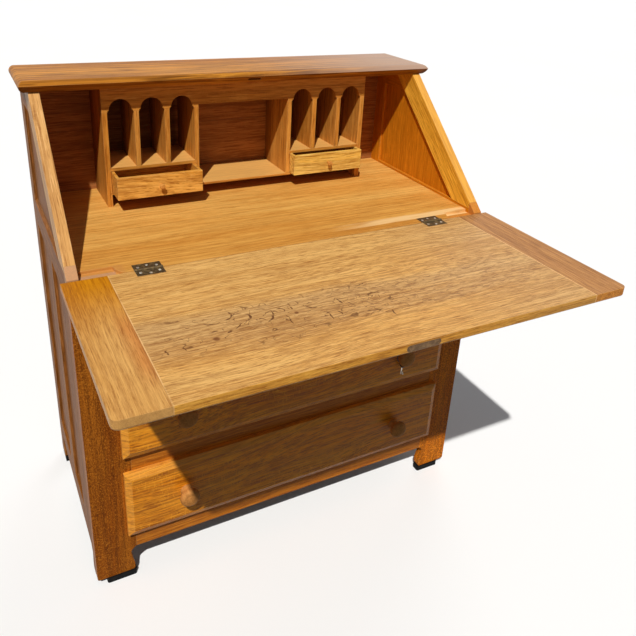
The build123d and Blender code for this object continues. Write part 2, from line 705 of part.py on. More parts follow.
# pads under the feet
front_pad_x = HALF - PAD_FRONT_IN
rear_pad_x = HALF - PAD_REAR_IN
rear_pad_y = CASE_D - PAD_REAR_IN
front_pad = box(
    front_pad_x - PAD_FRONT_W, front_pad_x, -PAD_FRONT_PROUD, PAD_FRONT_D - PAD_FRONT_PROUD, 0, PAD_T
)
front_pad = fillet(front_pad.edges().filter_by(Axis.Z), PAD_ROUND)
rear_pad = box(rear_pad_x - PAD_REAR_W, rear_pad_x, rear_pad_y - PAD_REAR_D, rear_pad_y, 0, PAD_T)

node("top_board", top_board)
pair("front_stiles", front_stile)
pair("side_front_stiles", side_front)
pair("rear_stiles", rear_stile)
pair("slant_stiles", slant_stile)
pair("side_top_rails", top_rail)
pair("side_mid_rails", mid_rail)
pair("side_bottom_rails", low_rail)
pair("side_muntins", muntin)
pair("side_upper_panels", upper_panel)
node("side_lower_panels", *lower_panels, *[other_side(p) for p in lower_panels])
node("bottom_rail", front_rails[0])
node("drawer_rails", *front_rails[1:])
node("bed_rail", bed_rail)
node("writing_bed", writing_bed)
node("back_boards", *back_boards)
node("drawer_runners", *runners)
pair("loper_guides", loper_guide)
node("foot_pads", front_pad, rear_pad, other_side(front_pad), other_side(rear_pad))
pair("hinge_case_leaves", case_leaf)
pair("hinge_pins", hinge_pin)
node("fall_panel", fall_panel)
node("fall_right_end", fall_right)
node("fall_left_end", other_side(fall_right))
pair("hinge_fall_leaves", fall_leaf)
node("lock_plate", lock_plate)
node("lock_case", lock_case)
node("lock_bolt", bolt)
node("right_loper", loper)
node("left_loper", other_side(loper))

# gallery of pigeonholes standing on the bed
floor_under = BED_TOP + GALLERY_FLOOR_UP
floor_top = floor_under + GALLERY_FLOOR_T
shelf_under = BED_TOP + SHELF_UP
shelf_top = shelf_under + SHELF_T
arch_foot = TOP_UNDER - HEADER_H
centre_foot = arch_foot + HEADER_CENTRE_RISE
centre_out = CENTRE_HALF + CENTRE_WALL_T
hole_pitch = HOLE_W + PARTITION_T
end_in = centre_out + HOLES * HOLE_W + (HOLES - 1) * PARTITION_T
end_out = end_in + END_T
header_back = GALLERY_FRONT + HEADER_T


def upright(x0, x1, foot):
    """Upright with a notch at its front top corner for the header."""
    points = [
        (GALLERY_FRONT, foot), (BACK_FACE, foot), (BACK_FACE, TOP_UNDER), (header_back, TOP_UNDER),
        (header_back, arch_foot), (GALLERY_FRONT, arch_foot),
    ]
    return slab_yz(points, x0, x1)


header = box(-end_out, end_out, GALLERY_FRONT, header_back, arch_foot, TOP_UNDER)
header -= box(-CENTRE_HALF, CENTRE_HALF, GALLERY_FRONT, header_back, arch_foot, centre_foot)
partitions = []
for k in range(HOLES):
    x0 = centre_out + k * hole_pitch
    mid = x0 + HOLE_W / 2
    spring = arch_foot + ARCH_STEP_H
    arch = rod_y(ARCH_R, GALLERY_FRONT, header_back, mid, spring)
    arch += box(
        mid - ARCH_STEP_W / 2, mid + ARCH_STEP_W / 2, GALLERY_FRONT, header_back, arch_foot - ARCH_R, spring
    )
    header -= arch
    header -= other_side(arch)
    if k + 1 < HOLES:
        partitions.append(upright(x0 + HOLE_W, x0 + hole_pitch, shelf_top))

shelf = box(
    centre_out - SHELF_HOUSING, end_in + SHELF_HOUSING, GALLERY_FRONT, BACK_FACE, shelf_under, shelf_top
)
gallery_floor = box(
    -end_in - SHELF_HOUSING, end_in + SHELF_HOUSING, GALLERY_FRONT, BACK_FACE, floor_under, floor_top
)
centre_wall = upright(CENTRE_HALF, centre_out, floor_top) - shelf
gallery_end = upright(end_in, end_out, BED_TOP) - shelf - gallery_floor

node("gallery_header", header)
pair("gallery_ends", gallery_end)
node("gallery_floor", gallery_floor)
pair("gallery_shelves", shelf)
pair("gallery_centre_walls", centre_wall)
node("gallery_partitions", *partitions, *[other_side(p) for p in partitions])


def turned(profile, x, y, z):
    """Turned piece with its axis along Y; profile is (radius, distance in front of y)."""
    points = [(0, profile[0][1])] + profile + [(0, profile[-1][1])]
    face = make_face(Polyline(*points, close=True))
    solid = revolve(Plane.XY * face, axis=Axis.Y)
    return Pos(x, y, z) * mirror(solid, about=Plane.XZ)


# small drawers, each a front, three walls and a thin floor
def small_drawer(side, out):
    x0 = centre_out + SMALL_GAP
    x1 = end_in - SMALL_GAP
    y0 = GALLERY_FRONT - out
    z0 = floor_top + SLIDE_GAP
    z1 = shelf_under - SMALL_GAP
    front_back = y0 + SMALL_FRONT_T
    rear = y0 + SMALL_D
    floor_z = z0 + SMALL_FLOOR_UP
    floor = box(
        x0 + SMALL_TONGUE, x1 - SMALL_TONGUE, front_back - SMALL_TONGUE, rear,
        floor_z, floor_z + SMALL_FLOOR_T,
    )
    walls = []
    for low, high in ((x0, x0 + SMALL_WALL_T), (x1 - SMALL_WALL_T, x1)):
        walls.append(box(low, high, front_back - SMALL_TONGUE, rear, z0, z1) - floor)
    walls.append(
        box(x0 + SMALL_WALL_T, x1 - SMALL_WALL_T, rear - SMALL_WALL_T, rear, floor_z + SMALL_FLOOR_T, z1)
    )
    knob = turned(SMALL_KNOB, (x0 + x1) / 2, y0, (z0 + z1) / 2)
    front = box(x0, x1, y0, front_back, z0, z1) - floor
    for wall in walls:
        front -= wall
    front -= rod_y(
        SMALL_SPIGOT_R + KNOB_FIT, y0 - CUT_PAST, front_back + CUT_PAST, (x0 + x1) / 2, (z0 + z1) / 2
    )
    name = "right_small_" if side > 0 else "left_small_"
    solids = [[front], walls, [floor], [knob]]
    if side < 0:
        solids = [[other_side(s) for s in group] for group in solids]
    for label, group in zip(("front", "walls", "floor", "knob"), solids):
        node(name + label, *group)


small_drawer(-1, LEFT_SMALL_OUT)
small_drawer(1, RIGHT_SMALL_OUT)

# large drawers with lapped, bevelled fronts and two turned knobs each
face_y = -LIP_GAP - FRONT_T
NAMES = ("lower", "middle", "upper")


def bevelled_front(z0):
    mid = Pos(0, z0 + FRONT_H / 2)
    body = face_xz(mid * Rectangle(FRONT_W, FRONT_H), face_y + FRONT_BEVEL_D, -LIP_GAP)
    back_face = Plane.XZ.offset(-face_y - FRONT_BEVEL_D) * mid * Rectangle(FRONT_W, FRONT_H)
    field = mid * Rectangle(FRONT_W - 2 * FRONT_BEVEL_W, FRONT_H - 2 * FRONT_BEVEL_W)
    return body + loft([back_face, Plane.XZ.offset(-face_y) * field])


for level, name in enumerate(NAMES):
    z0 = FRONT_BASE + level * FRONT_PITCH
    knob_z = z0 + FRONT_H / 2 + KNOB_RISE
    opening_foot = BANK_FOOT + level * FRONT_PITCH
    seat = opening_foot + SLIDE_GAP
    head = opening_foot + OPEN_H - BOX_TOP_GAP
    wide = OPENING - BOX_SIDE_GAP
    floor_z = seat + BOX_FLOOR_UP
    floor = box(
        -wide + BOX_TONGUE, wide - BOX_TONGUE, -LIP_GAP - BOX_TONGUE, BOX_BACK, floor_z, floor_z + BOX_FLOOR_T
    )
    wall = box(wide - BOX_T, wide, -LIP_GAP - BOX_TONGUE, BOX_BACK, seat, head) - floor
    walls = [wall, other_side(wall)]
    walls.append(
        box(-wide + BOX_T, wide - BOX_T, BOX_BACK - BOX_T, BOX_BACK, floor_z + BOX_FLOOR_T, head)
    )
    front = bevelled_front(z0) - floor
    for piece in walls:
        front -= piece
    knobs = []
    for side in (-1, 1):
        knobs.append(turned(KNOB, side * KNOB_X, face_y, knob_z))
        front -= rod_y(KNOB_SPIGOT_R + KNOB_FIT, face_y - CUT_PAST, 0, side * KNOB_X, knob_z)
    node(name + "_front", front)
    node(name + "_walls", *walls)
    node(name + "_floor", floor)
    node(name + "_knobs", *knobs)
    if name == "middle":
        neck_top = knob_z + KNOB_NECK_R
        ring_y = face_y - RING_OUT
        ring_z = neck_top + HANG_GAP - RING_R + RING_WIRE
        ring = rod_y(RING_R + RING_WIRE, ring_y - RING_WIRE, ring_y + RING_WIRE, KNOB_X, ring_z)
        ring -= rod_y(RING_R - RING_WIRE, ring_y - RING_WIRE, ring_y + RING_WIRE, KNOB_X, ring_z)
        wire_z = ring_z - RING_R
        eye_z = wire_z + RING_WIRE + HANG_GAP - KEY_EYE_R
        bow_z = eye_z - KEY_EYE_UP
        bow = rod_x(KEY_BOW_R, KNOB_X - KEY_BOW_T / 2, KNOB_X + KEY_BOW_T / 2, ring_y, bow_z)
        shank_top = eye_z - KEY_EYE_R
        shank = Pos(KNOB_X, ring_y, shank_top - KEY_SHANK_L / 2) * Cylinder(KEY_SHANK_R, KEY_SHANK_L)
        bit_z = shank_top - KEY_SHANK_L
        bit = box(
            KNOB_X - KEY_T / 2, KNOB_X + KEY_T / 2, ring_y - KEY_BIT - KEY_SHANK_R, ring_y,
            bit_z + KEY_T, bit_z + KEY_T + KEY_BIT,
        )
        key = bow + shank + bit
        key -= rod_x(KEY_EYE_R, KNOB_X - KEY_BOW_T, KNOB_X + KEY_BOW_T, ring_y, eye_z)
        node("key_on_ring", ring, key)
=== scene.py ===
from math import cos, pi, radians, sin

import bmesh
import bpy
from mathutils import Matrix, Vector


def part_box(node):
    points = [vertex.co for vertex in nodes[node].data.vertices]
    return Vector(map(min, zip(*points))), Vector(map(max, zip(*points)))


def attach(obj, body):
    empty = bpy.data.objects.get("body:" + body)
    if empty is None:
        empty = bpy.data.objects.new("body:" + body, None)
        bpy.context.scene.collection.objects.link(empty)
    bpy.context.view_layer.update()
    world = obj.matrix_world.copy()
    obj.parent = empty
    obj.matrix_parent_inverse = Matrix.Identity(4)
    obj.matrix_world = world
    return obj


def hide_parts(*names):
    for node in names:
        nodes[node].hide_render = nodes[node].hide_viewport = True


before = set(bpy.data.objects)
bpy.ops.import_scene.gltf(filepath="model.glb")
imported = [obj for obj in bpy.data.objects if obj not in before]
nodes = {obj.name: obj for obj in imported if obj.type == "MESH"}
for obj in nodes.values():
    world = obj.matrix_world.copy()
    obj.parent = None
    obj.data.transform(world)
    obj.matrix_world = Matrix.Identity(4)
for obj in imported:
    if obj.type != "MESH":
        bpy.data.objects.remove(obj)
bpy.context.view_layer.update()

# Oak slant-front bureau in metres: X to the right, Y to the back, Z up, floor at Z = 0.

scene = bpy.context.scene

SLANT = radians(41.87)
GRAIN = {
    "across": (0, 0, 0),
    "deep": (0, 0, -pi / 2),
    "upright": (0, pi / 2, 0),
    "slanted": (-SLANT, 0, -pi / 2),
}


def tone(red, green, blue):
    """Linear colour from red, green and blue between 0 and 255."""
    linear = []
    for value in (red, green, blue):
        part = value / 255
        linear.append(part / 12.92 if part <= 0.04045 else ((part + 0.055) / 1.055) ** 2.4)
    return (*linear, 1.0)


# node building

def put(tree, kind, **settings):
    """New node of a kind, with its settings."""
    node = tree.nodes.new(kind)
    for name, value in settings.items():
        setattr(node, name, value)
    return node


def wire(tree, source, target):
    """Joins an output socket to an input, or sets a plain value on it."""
    if isinstance(source, bpy.types.NodeSocket):
        tree.links.new(source, target)
    else:
        target.default_value = source


def calc(tree, operation, *sources, clamp=False):
    """Result of one step of arithmetic on sockets or plain numbers."""
    node = put(tree, "ShaderNodeMath", operation=operation, use_clamp=clamp)
    for socket, source in zip(node.inputs, sources):
        wire(tree, source, socket)
    return node.outputs[0]


def times(tree, first, *others, clamp=False):
    """Product of sockets or plain numbers."""
    for other in others:
        first = calc(tree, "MULTIPLY", first, other, clamp=clamp)
    return first


def stretch(tree, vector, scale):
    """Vector times a scale along each axis."""
    node = put(tree, "ShaderNodeVectorMath", operation="MULTIPLY")
    wire(tree, vector, node.inputs[0])
    wire(tree, scale, node.inputs[1])
    return node.outputs[0]


def noise(tree, vector, scale, detail=2.0, roughness=0.5, distortion=0.0):
    """Noise with its own scale along each axis of the vector."""
    node = put(tree, "ShaderNodeTexNoise")
    wire(tree, stretch(tree, vector, scale), node.inputs["Vector"])
    node.inputs["Scale"].default_value = 1.0
    node.inputs["Detail"].default_value = detail
    node.inputs["Roughness"].default_value = roughness
    node.inputs["Distortion"].default_value = distortion
    return node.outputs[0]


def span(tree, value, low, high, to_low=0.0, to_high=1.0):
    """Smooth step of a value from one range to another."""
    node = put(tree, "ShaderNodeMapRange", interpolation_type="SMOOTHSTEP")
    for socket, source in zip(node.inputs, (value, low, high, to_low, to_high)):
        wire(tree, source, socket)
    return node.outputs[0]


def mix(tree, factor, first, second, mode="MIX"):
    """Blend of two colours."""
    node = put(tree, "ShaderNodeMix", data_type="RGBA", blend_type=mode)
    for index, source in ((0, factor), (6, first), (7, second)):
        wire(tree, source, node.inputs[index])
    return node.outputs[2]


def split(tree, vector):
    """The X, Y and Z of a vector."""
    node = put(tree, "ShaderNodeSeparateXYZ")
    wire(tree, vector, node.inputs[0])
    return node.outputs


def open_group(name, inputs, outputs):
    """New shader node group with its named sockets; gives its tree, inputs and outputs."""
    tree = bpy.data.node_groups.new(name, "ShaderNodeTree")
    for label, kind, value in inputs:
        socket = tree.interface.new_socket(label, in_out="INPUT", socket_type="NodeSocket" + kind)
        if value is not None:
            socket.default_value = value
    for label, kind in outputs:
        tree.interface.new_socket(label, in_out="OUTPUT", socket_type="NodeSocket" + kind)
    return tree, put(tree, "NodeGroupInput").outputs, put(tree, "NodeGroupOutput").inputs


def use_group(tree, group, **values):
    """Places a group in a material; socket names are given with underscores for spaces."""
    node = put(tree, "ShaderNodeGroup", node_tree=group)
    for name, source in values.items():
        wire(tree, source, node.inputs[name.replace("_", " ")])
    return node.outputs


# shared finishes

def make_oak_figure():
    """Oak with its grain along X: broad tone, growth lines, pores and ray fleck."""
    tree, given, out = open_group(
        "oak_figure",
        [
            ("Place", "Vector", None), ("Pale", "Color", tone(230, 178, 106)),
            ("Mid", "Color", tone(208, 144, 66)), ("Dark", "Color", tone(160, 96, 36)),
            ("Lines", "Float", 0.5), ("Waver", "Float", 0.3), ("Pores", "Float", 0.5),
            ("Fleck", "Float", 0.2), ("Bands", "Float", 0.5), ("Grit", "Float", 0.5),
            ("Dash", "Float", 18.0), ("Close", "Float", 330.0),
        ],
        [("Colour", "Color"), ("Roughness", "Float"), ("Height", "Float")],
    )
    place = given["Place"]

    # the grain sways along the board
    sway = calc(tree, "SUBTRACT", noise(tree, place, (1.6, 7.0, 7.0), detail=1.0), 0.5)
    sway = times(tree, sway, given["Waver"], 0.09)
    offset = put(tree, "ShaderNodeCombineXYZ")
    wire(tree, sway, offset.inputs["Y"])
    wire(tree, sway, offset.inputs["Z"])
    moved = put(tree, "ShaderNodeVectorMath", operation="ADD")
    wire(tree, place, moved.inputs[0])
    wire(tree, offset.outputs[0], moved.inputs[1])
    bent = moved.outputs[0]

    # growth lines, pores between them and ray fleck
    broad = span(tree, noise(tree, bent, (0.8, 14.0, 14.0), detail=3.0), 0.34, 0.68)
    growth = noise(tree, bent, (1.8, 110.0, 110.0), detail=5.0, roughness=0.68)
    streak = span(tree, growth, 0.38, 0.62)
    fine = noise(tree, bent, (8.0, 420.0, 420.0), detail=3.0, roughness=0.6)
    pore = span(tree, noise(tree, bent, (46.0, 1150.0, 1150.0), detail=1.0), 0.56, 0.70)
    pore = times(tree, pore, span(tree, growth, 0.62, 0.40))
    pore = times(tree, pore, given["Pores"], clamp=True)
    patch = span(tree, noise(tree, place, (5.0, 16.0, 16.0), detail=2.0), 0.40, 0.62)
    ray = span(tree, noise(tree, place, (330.0, 80.0, 80.0), detail=2.0, distortion=0.6), 0.55, 0.68)
    ray = times(tree, ray, patch, given["Fleck"], clamp=True)

    # short dashes, dark and pale
    beat = put(tree, "ShaderNodeCombineXYZ")
    wire(tree, given["Dash"], beat.inputs["X"])
    wire(tree, given["Close"], beat.inputs["Y"])
    wire(tree, given["Close"], beat.inputs["Z"])
    dash = noise(tree, bent, beat.outputs[0], detail=2.0, roughness=0.7)
    dark_dash = times(tree, span(tree, dash, 0.54, 0.64), given["Grit"], clamp=True)
    pale_dash = times(tree, span(tree, dash, 0.45, 0.35), given["Grit"], clamp=True)

    # all of it laid over each other
    line = times(tree, calc(tree, "SUBTRACT", 1.0, streak), given["Lines"], clamp=True)
    colour = mix(tree, times(tree, broad, given["Bands"]), given["Mid"], given["Pale"])
    colour = mix(tree, line, colour, given["Dark"])
    fine_line = times(tree, span(tree, fine, 0.62, 0.34), given["Lines"], 0.45)
    colour = mix(tree, fine_line, colour, given["Dark"])
    colour = mix(tree, times(tree, dark_dash, 0.75), colour, given["Dark"])
    colour = mix(tree, times(tree, pale_dash, 0.65), colour, given["Pale"])
    colour = mix(tree, times(tree, ray, 0.75), colour, given["Pale"])
    colour = mix(tree, times(tree, pore, 0.75), colour, given["Dark"])
    wire(tree, colour, out["Colour"])
    rough = calc(tree, "MULTIPLY_ADD", fine, 0.16, 0.34)
    wire(tree, calc(tree, "MULTIPLY_ADD", pore, 0.18, rough), out["Roughness"])
    height = calc(tree, "MULTIPLY_ADD", streak, 0.35, times(tree, fine, 0.5))
    wire(tree, calc(tree, "MULTIPLY_ADD", pore, -0.6, height), out["Height"])
    return tree


def make_worn_edges():
    """Mask along the rubbed arrises of a piece, and its softened normal."""
    tree, given, out = open_group(
        "worn_edges",
        [("Place", "Vector", None), ("Radius", "Float", 0.0015), ("Wear", "Float", 0.5)],
        [("Mask", "Float"), ("Normal", "Vector")],
    )
    soft = put(tree, "ShaderNodeBevel", samples=6)
    wire(tree, given["Radius"], soft.inputs["Radius"])
    facing = put(tree, "ShaderNodeVectorMath", operation="DOT_PRODUCT")
    wire(tree, soft.outputs[0], facing.inputs[0])
    wire(tree, put(tree, "ShaderNodeNewGeometry").outputs["Normal"], facing.inputs[1])
    edge = span(tree, facing.outputs["Value"], 0.985, 0.80)
    rub = span(tree, noise(tree, given["Place"], (24.0, 24.0, 24.0), detail=4.0), 0.36, 0.60, 0.25, 1.0)
    edge = times(tree, edge, rub, given["Wear"], clamp=True)
    wire(tree, edge, out["Mask"])
    wire(tree, soft.outputs[0], out["Normal"])
    return tree


# curled marks in the fall's wild grain, placed in millimetres and degrees:
# centre, radius, facing, half sweep and stroke width
CURLED_MARKS = [
    (-340, -300, 14, 185, 35, 1.2), (-315, -300, 12, 185, 30, 1.1), (-245, -235, 14, 330, 80, 1.3),
    (-265, -235, 19, 260, 50, 0.9), (-215, -253, 10, 335, 90, 1.5), (-250, -250, 30, 305, 16, 1.1),
    (-257, -268, 17, 295, 20, 1.4), (-195, -255, 27, 330, 50, 1.4), (-155, -256, 8, 35, 85, 1.1),
    (-230, -285, 80, 0, 12, 1.2), (-125, -255, 9, 180, 30, 1.2), (-90, -248, 21, 235, 32, 1.3),
    (-110, -300, 26, 5, 40, 1.2), (-85, -270, 37, 10, 18, 1.5), (-85, -300, 20, 10, 20, 1.2),
    (-55, -288, 23, 25, 24, 1.0), (40, -335, 25, 170, 25, 1.2), (10, -203, 25, 275, 28, 1.1),
]


# knots in millimetres: place and radius
KNOTS = [(-280, -299, 4.8), (-136, -275, 3.4)]


def curled_mark(tree, spot, mid_x, mid_y, radius, facing, half, width):
    """Thin stroke along an arc, tapering to both ends."""
    centre = (mid_x / 1000, mid_y / 1000, 0.0)
    away = put(tree, "ShaderNodeVectorMath", operation="SUBTRACT")
    wire(tree, spot, away.inputs[0])
    away.inputs[1].default_value = centre
    reach = put(tree, "ShaderNodeVectorMath", operation="LENGTH")
    wire(tree, away.outputs[0], reach.inputs[0])
    lead = put(tree, "ShaderNodeVectorMath", operation="DOT_PRODUCT")
    wire(tree, away.outputs[0], lead.inputs[0])
    lead.inputs[1].default_value = (cos(facing), sin(facing), 0.0)
    turn = calc(tree, "DIVIDE", lead.outputs["Value"], reach.outputs["Value"])
    taper = span(tree, turn, cos(half), cos(half * 0.35), 0.0, width / 1000)
    gap = calc(tree, "ABSOLUTE", calc(tree, "SUBTRACT", reach.outputs["Value"], radius / 1000))
    stroke = span(tree, calc(tree, "SUBTRACT", gap, taper), 0.0006, -0.0005)
    return times(tree, stroke, span(tree, taper, 0.0, 0.0004))


def make_knotted_band():
    """Band of wild grain along the fall: curled marks at its left, ripples at its right, and knots."""
    tree, given, out = open_group(
        "knotted_band",
        [("Place", "Vector", None), ("Middle", "Float", -0.275), ("Reach", "Float", 0.056)],
        [("Band", "Float"), ("Curls", "Float"), ("Ripples", "Float"), ("Knots", "Float")],
    )
    place = given["Place"]
    x, y, _ = split(tree, place)
    drift = calc(tree, "MULTIPLY_ADD", noise(tree, place, (4.0, 12.0, 1.0), detail=3.0), 0.07, -0.035)
    away = calc(tree, "ABSOLUTE", calc(tree, "SUBTRACT", calc(tree, "ADD", y, drift), given["Middle"]))
    band = span(tree, calc(tree, "SUBTRACT", away, given["Reach"]), 0.018, -0.020)
    wire(tree, band, out["Band"])

    # the marks are shaken, so that no stroke is a clean arc
    shake = put(tree, "ShaderNodeTexNoise")
    wire(tree, stretch(tree, place, (90.0, 90.0, 0.0)), shake.inputs["Vector"])
    shake.inputs["Scale"].default_value = 1.0
    shake.inputs["Detail"].default_value = 1.5
    bend = put(tree, "ShaderNodeVectorMath", operation="MULTIPLY_ADD")
    wire(tree, shake.outputs["Color"], bend.inputs[0])
    bend.inputs[1].default_value = (0.007, 0.007, 0.0)
    wire(tree, stretch(tree, place, (1.0, 1.0, 0.0)), bend.inputs[2])
    spot = bend.outputs[0]
    curls = 0.0
    for mid_x, mid_y, radius, facing, half, width in CURLED_MARKS:
        mark = curled_mark(tree, spot, mid_x, mid_y, radius, radians(facing), radians(half), width)
        curls = calc(tree, "MAXIMUM", curls, mark)
    broken = span(tree, noise(tree, place, (160.0, 160.0, 1.0), detail=2.0), 0.30, 0.46, 0.35, 1.0)
    curls = times(tree, curls, broken)

    # hair lines where a slow noise passes its middle, broken into strokes
    swirl = noise(tree, spot, (36.0, 54.0, 1.0), detail=1.0, distortion=0.8)
    hair = span(tree, calc(tree, "ABSOLUTE", calc(tree, "SUBTRACT", swirl, 0.5)), 0.022, 0.005)
    stroke = span(tree, noise(tree, place, (50.0, 75.0, 1.0), detail=1.0), 0.46, 0.54, 0.0, 0.85)
    zone = span(tree, calc(tree, "ABSOLUTE", calc(tree, "ADD", x, 0.13)), 0.27, 0.17)
    wire(tree, calc(tree, "MAXIMUM", curls, times(tree, hair, stroke, zone, band)), out["Curls"])

    wave = noise(tree, spot, (52.0, 230.0, 1.0), detail=1.5, distortion=0.6)
    zone = span(tree, calc(tree, "ABSOLUTE", calc(tree, "SUBTRACT", x, 0.12)), 0.30, 0.14, 0.45, 1.0)
    wire(tree, times(tree, span(tree, wave, 0.52, 0.66), band, zone), out["Ripples"])

    flat = put(tree, "ShaderNodeCombineXYZ")
    wire(tree, calc(tree, "MULTIPLY_ADD", drift, 0.08, x), flat.inputs["X"])
    wire(tree, calc(tree, "MULTIPLY_ADD", drift, 0.08, y), flat.inputs["Y"])
    knots = 0.0
    for knot_x, knot_y, radius in KNOTS:
        apart = put(tree, "ShaderNodeVectorMath", operation="DISTANCE")
        wire(tree, flat.outputs[0], apart.inputs[0])
        apart.inputs[1].default_value = (knot_x / 1000, knot_y / 1000, 0.0)
        knot = span(tree, apart.outputs["Value"], radius * 1.5 / 1000, radius * 0.6 / 1000)
        knots = calc(tree, "MAXIMUM", knots, knot)
    wire(tree, knots, out["Knots"])
    return tree


OAK_FIGURE = make_oak_figure()
WORN_EDGES = make_worn_edges()
KNOTTED_BAND = make_knotted_band()
WORN_OAK = tone(236, 188, 126)


# materials

def new_material(name):
    """Empty material with its shader; gives the tree, the shader's inputs and the object coordinates."""
    material = bpy.data.materials.new(name)
    material.use_nodes = True
    tree = material.node_tree
    tree.nodes.clear()
    shader = put(tree, "ShaderNodeBsdfPrincipled")
    tree.links.new(shader.outputs[0], put(tree, "ShaderNodeOutputMaterial").inputs["Surface"])
    return material, tree, shader.inputs, put(tree, "ShaderNodeTexCoord").outputs["Object"]


def bump(tree, height, normal, strength, distance):
    """Normal with the height of a figure pressed into it."""
    node = put(tree, "ShaderNodeBump")
    node.inputs["Strength"].default_value = strength
    node.inputs["Distance"].default_value = distance
    wire(tree, height, node.inputs["Height"])
    wire(tree, normal, node.inputs["Normal"])
    return node.outputs[0]


def along_grain(tree, place, grain, shift, fine):
    """Object coordinates turned so that X runs with the grain, drawn closer for a finer figure."""
    turned = put(tree, "ShaderNodeMapping")
    wire(tree, place, turned.inputs["Vector"])
    turned.inputs["Rotation"].default_value = GRAIN[grain]
    turned.inputs["Location"].default_value = (shift, shift * 1.7, shift * 0.6)
    return stretch(tree, turned.outputs[0], (fine, fine, fine))


def oak(name, grain, pale, mid, dark, shift=0.0, worn=0.45, gloss=0.22, fine=1.0, extra=None, **figure):
    """Waxed oak board; extra(tree, place, colour) may paint over the plain figure."""
    material, tree, shader, place = new_material(name)
    wood = use_group(
        tree, OAK_FIGURE, Place=along_grain(tree, place, grain, shift, fine),
        Pale=tone(*pale), Mid=tone(*mid), Dark=tone(*dark), **figure,
    )
    edges = use_group(tree, WORN_EDGES, Place=place, Wear=worn)
    colour = wood["Colour"]
    if extra:
        colour = extra(tree, place, colour)
    wire(tree, mix(tree, edges["Mask"], colour, WORN_OAK), shader["Base Color"])
    wire(tree, wood["Roughness"], shader["Roughness"])
    wire(tree, bump(tree, wood["Height"], edges["Normal"], 0.35, 0.0006), shader["Normal"])
    shader["Specular IOR Level"].default_value = gloss
    return material


# tones painted over the figure

def face_normal(tree):
    """The X, Y and Z of a face's normal."""
    return split(tree, put(tree, "ShaderNodeNewGeometry").outputs["Normal"])


def faces_front(tree):
    """Mask of faces that look forwards."""
    return span(tree, face_normal(tree)[1], -0.45, -0.80)


def faces_up(tree):
    """Mask of faces that look upwards, also of sloping ones."""
    return span(tree, face_normal(tree)[2], 0.2, 0.4)


def right_half(tree, place):
    """Mask of the right half of the desk."""
    return span(tree, split(tree, place)[0], -0.1, 0.1)


def tinted(tree, mask, colour, red, green, blue):
    """Colour times a tint where the mask is."""
    return mix(tree, mask, colour, mix(tree, 1.0, colour, (red, green, blue, 1.0), "MULTIPLY"))


FALL_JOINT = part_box("fall_right_end")[0].x
JOINT_RUB = (FALL_JOINT - 0.0022, FALL_JOINT - 0.0012)


def fall_band(tree, place, colour):
    """Wild grain along the middle of the fall, and worn edges at the joints with its ends."""
    x = split(tree, place)[0]
    marks = use_group(tree, KNOTTED_BAND, Place=place)
    band = calc(tree, "MAXIMUM", times(tree, marks["Band"], 0.9), span(tree, x, 0.08, 0.32, 0.0, 0.8))
    colour = tinted(tree, band, colour, 0.84, 0.86, 1.03)
    colour = mix(tree, times(tree, marks["Ripples"], 0.60), colour, tone(128, 82, 44))
    colour = mix(tree, times(tree, marks["Curls"], 0.92), colour, tone(92, 50, 20))
    colour = mix(tree, times(tree, marks["Knots"], 0.85), colour, tone(112, 62, 28))
    colour = tinted(tree, faces_front(tree), colour, 1.08, 0.95, 0.50)
    joint = span(tree, calc(tree, "ABSOLUTE", x), *JOINT_RUB)
    rub = span(tree, noise(tree, place, (1.0, 14.0, 1.0), detail=3.0), 0.35, 0.60, 0.25, 0.9)
    return mix(tree, times(tree, joint, rub), colour, WORN_OAK)


def top_painted_reflection(tree, place, colour):
    """Painted reflection: the upper face of the top turns paler and greyer towards its right end."""
    reflection_mask = times(tree, span(tree, split(tree, place)[0], -0.04, 0.48, 0.0, 0.85), faces_up(tree))
    return mix(tree, reflection_mask, colour, tone(182, 154, 136))


def left_end_tones(tree, place, colour):
    """Browner by the hinges, with a reddish streak by the panel and a plain front end."""
    x, y, _ = split(tree, place)
    colour = mix(tree, times(tree, faces_front(tree), 0.5), colour, tone(204, 154, 90))
    colour = tinted(tree, span(tree, y, -0.26, -0.05), colour, 0.85, 0.60, 0.05)
    drift = calc(tree, "MULTIPLY_ADD", noise(tree, place, (9.0, 5.0, 1.0), detail=2.0), 0.05, -0.025)
    joint = span(tree, calc(tree, "ADD", x, drift), -0.414, -0.392)
    along = span(tree, calc(tree, "ABSOLUTE", calc(tree, "ADD", y, 0.27)), 0.13, 0.04)
    return tinted(tree, times(tree, joint, along), colour, 0.86, 0.66, 0.55)


def right_end_tones(tree, place, colour):
    """The front end kept its orange finish."""
    return tinted(tree, faces_front(tree), colour, 1.35, 1.15, 0.50)


SIDE_MIDDLE = (0.4425, 0.4375)
STILE_ENDS = (0.700, 0.706)


def inside_tone(tree, place, colour):
    """Sides that are orange and calm within the desk and weathered outside."""
    inside = span(tree, calc(tree, "ABSOLUTE", split(tree, place)[0]), *SIDE_MIDDLE)
    colour = tinted(tree, inside, colour, 2.5, 2.4, 0.50)
    return mix(tree, times(tree, inside, 0.6), colour, tone(202, 120, 20))


def stile_tones(tree, place, colour):
    """Lighter on the right; the ends above the writing bed are rubbed pale."""
    right = right_half(tree, place)
    colour = tinted(tree, right, colour, 2.1, 2.1, 1.6)
    rubbed = mix(tree, right, tone(204, 158, 116), tone(204, 136, 62))
    return mix(tree, span(tree, split(tree, place)[2], *STILE_ENDS, 0.0, 0.75), colour, rubbed)


# across the seam of the bed and the fall, and along the bed's left end
STRIP_FRONT = (-0.0135, -0.0115)
STRIP_BACK = (0.0130, 0.0110)
REBATE_BACK = (0.002, -0.006)
REBATE_END = (-0.345, -0.355)


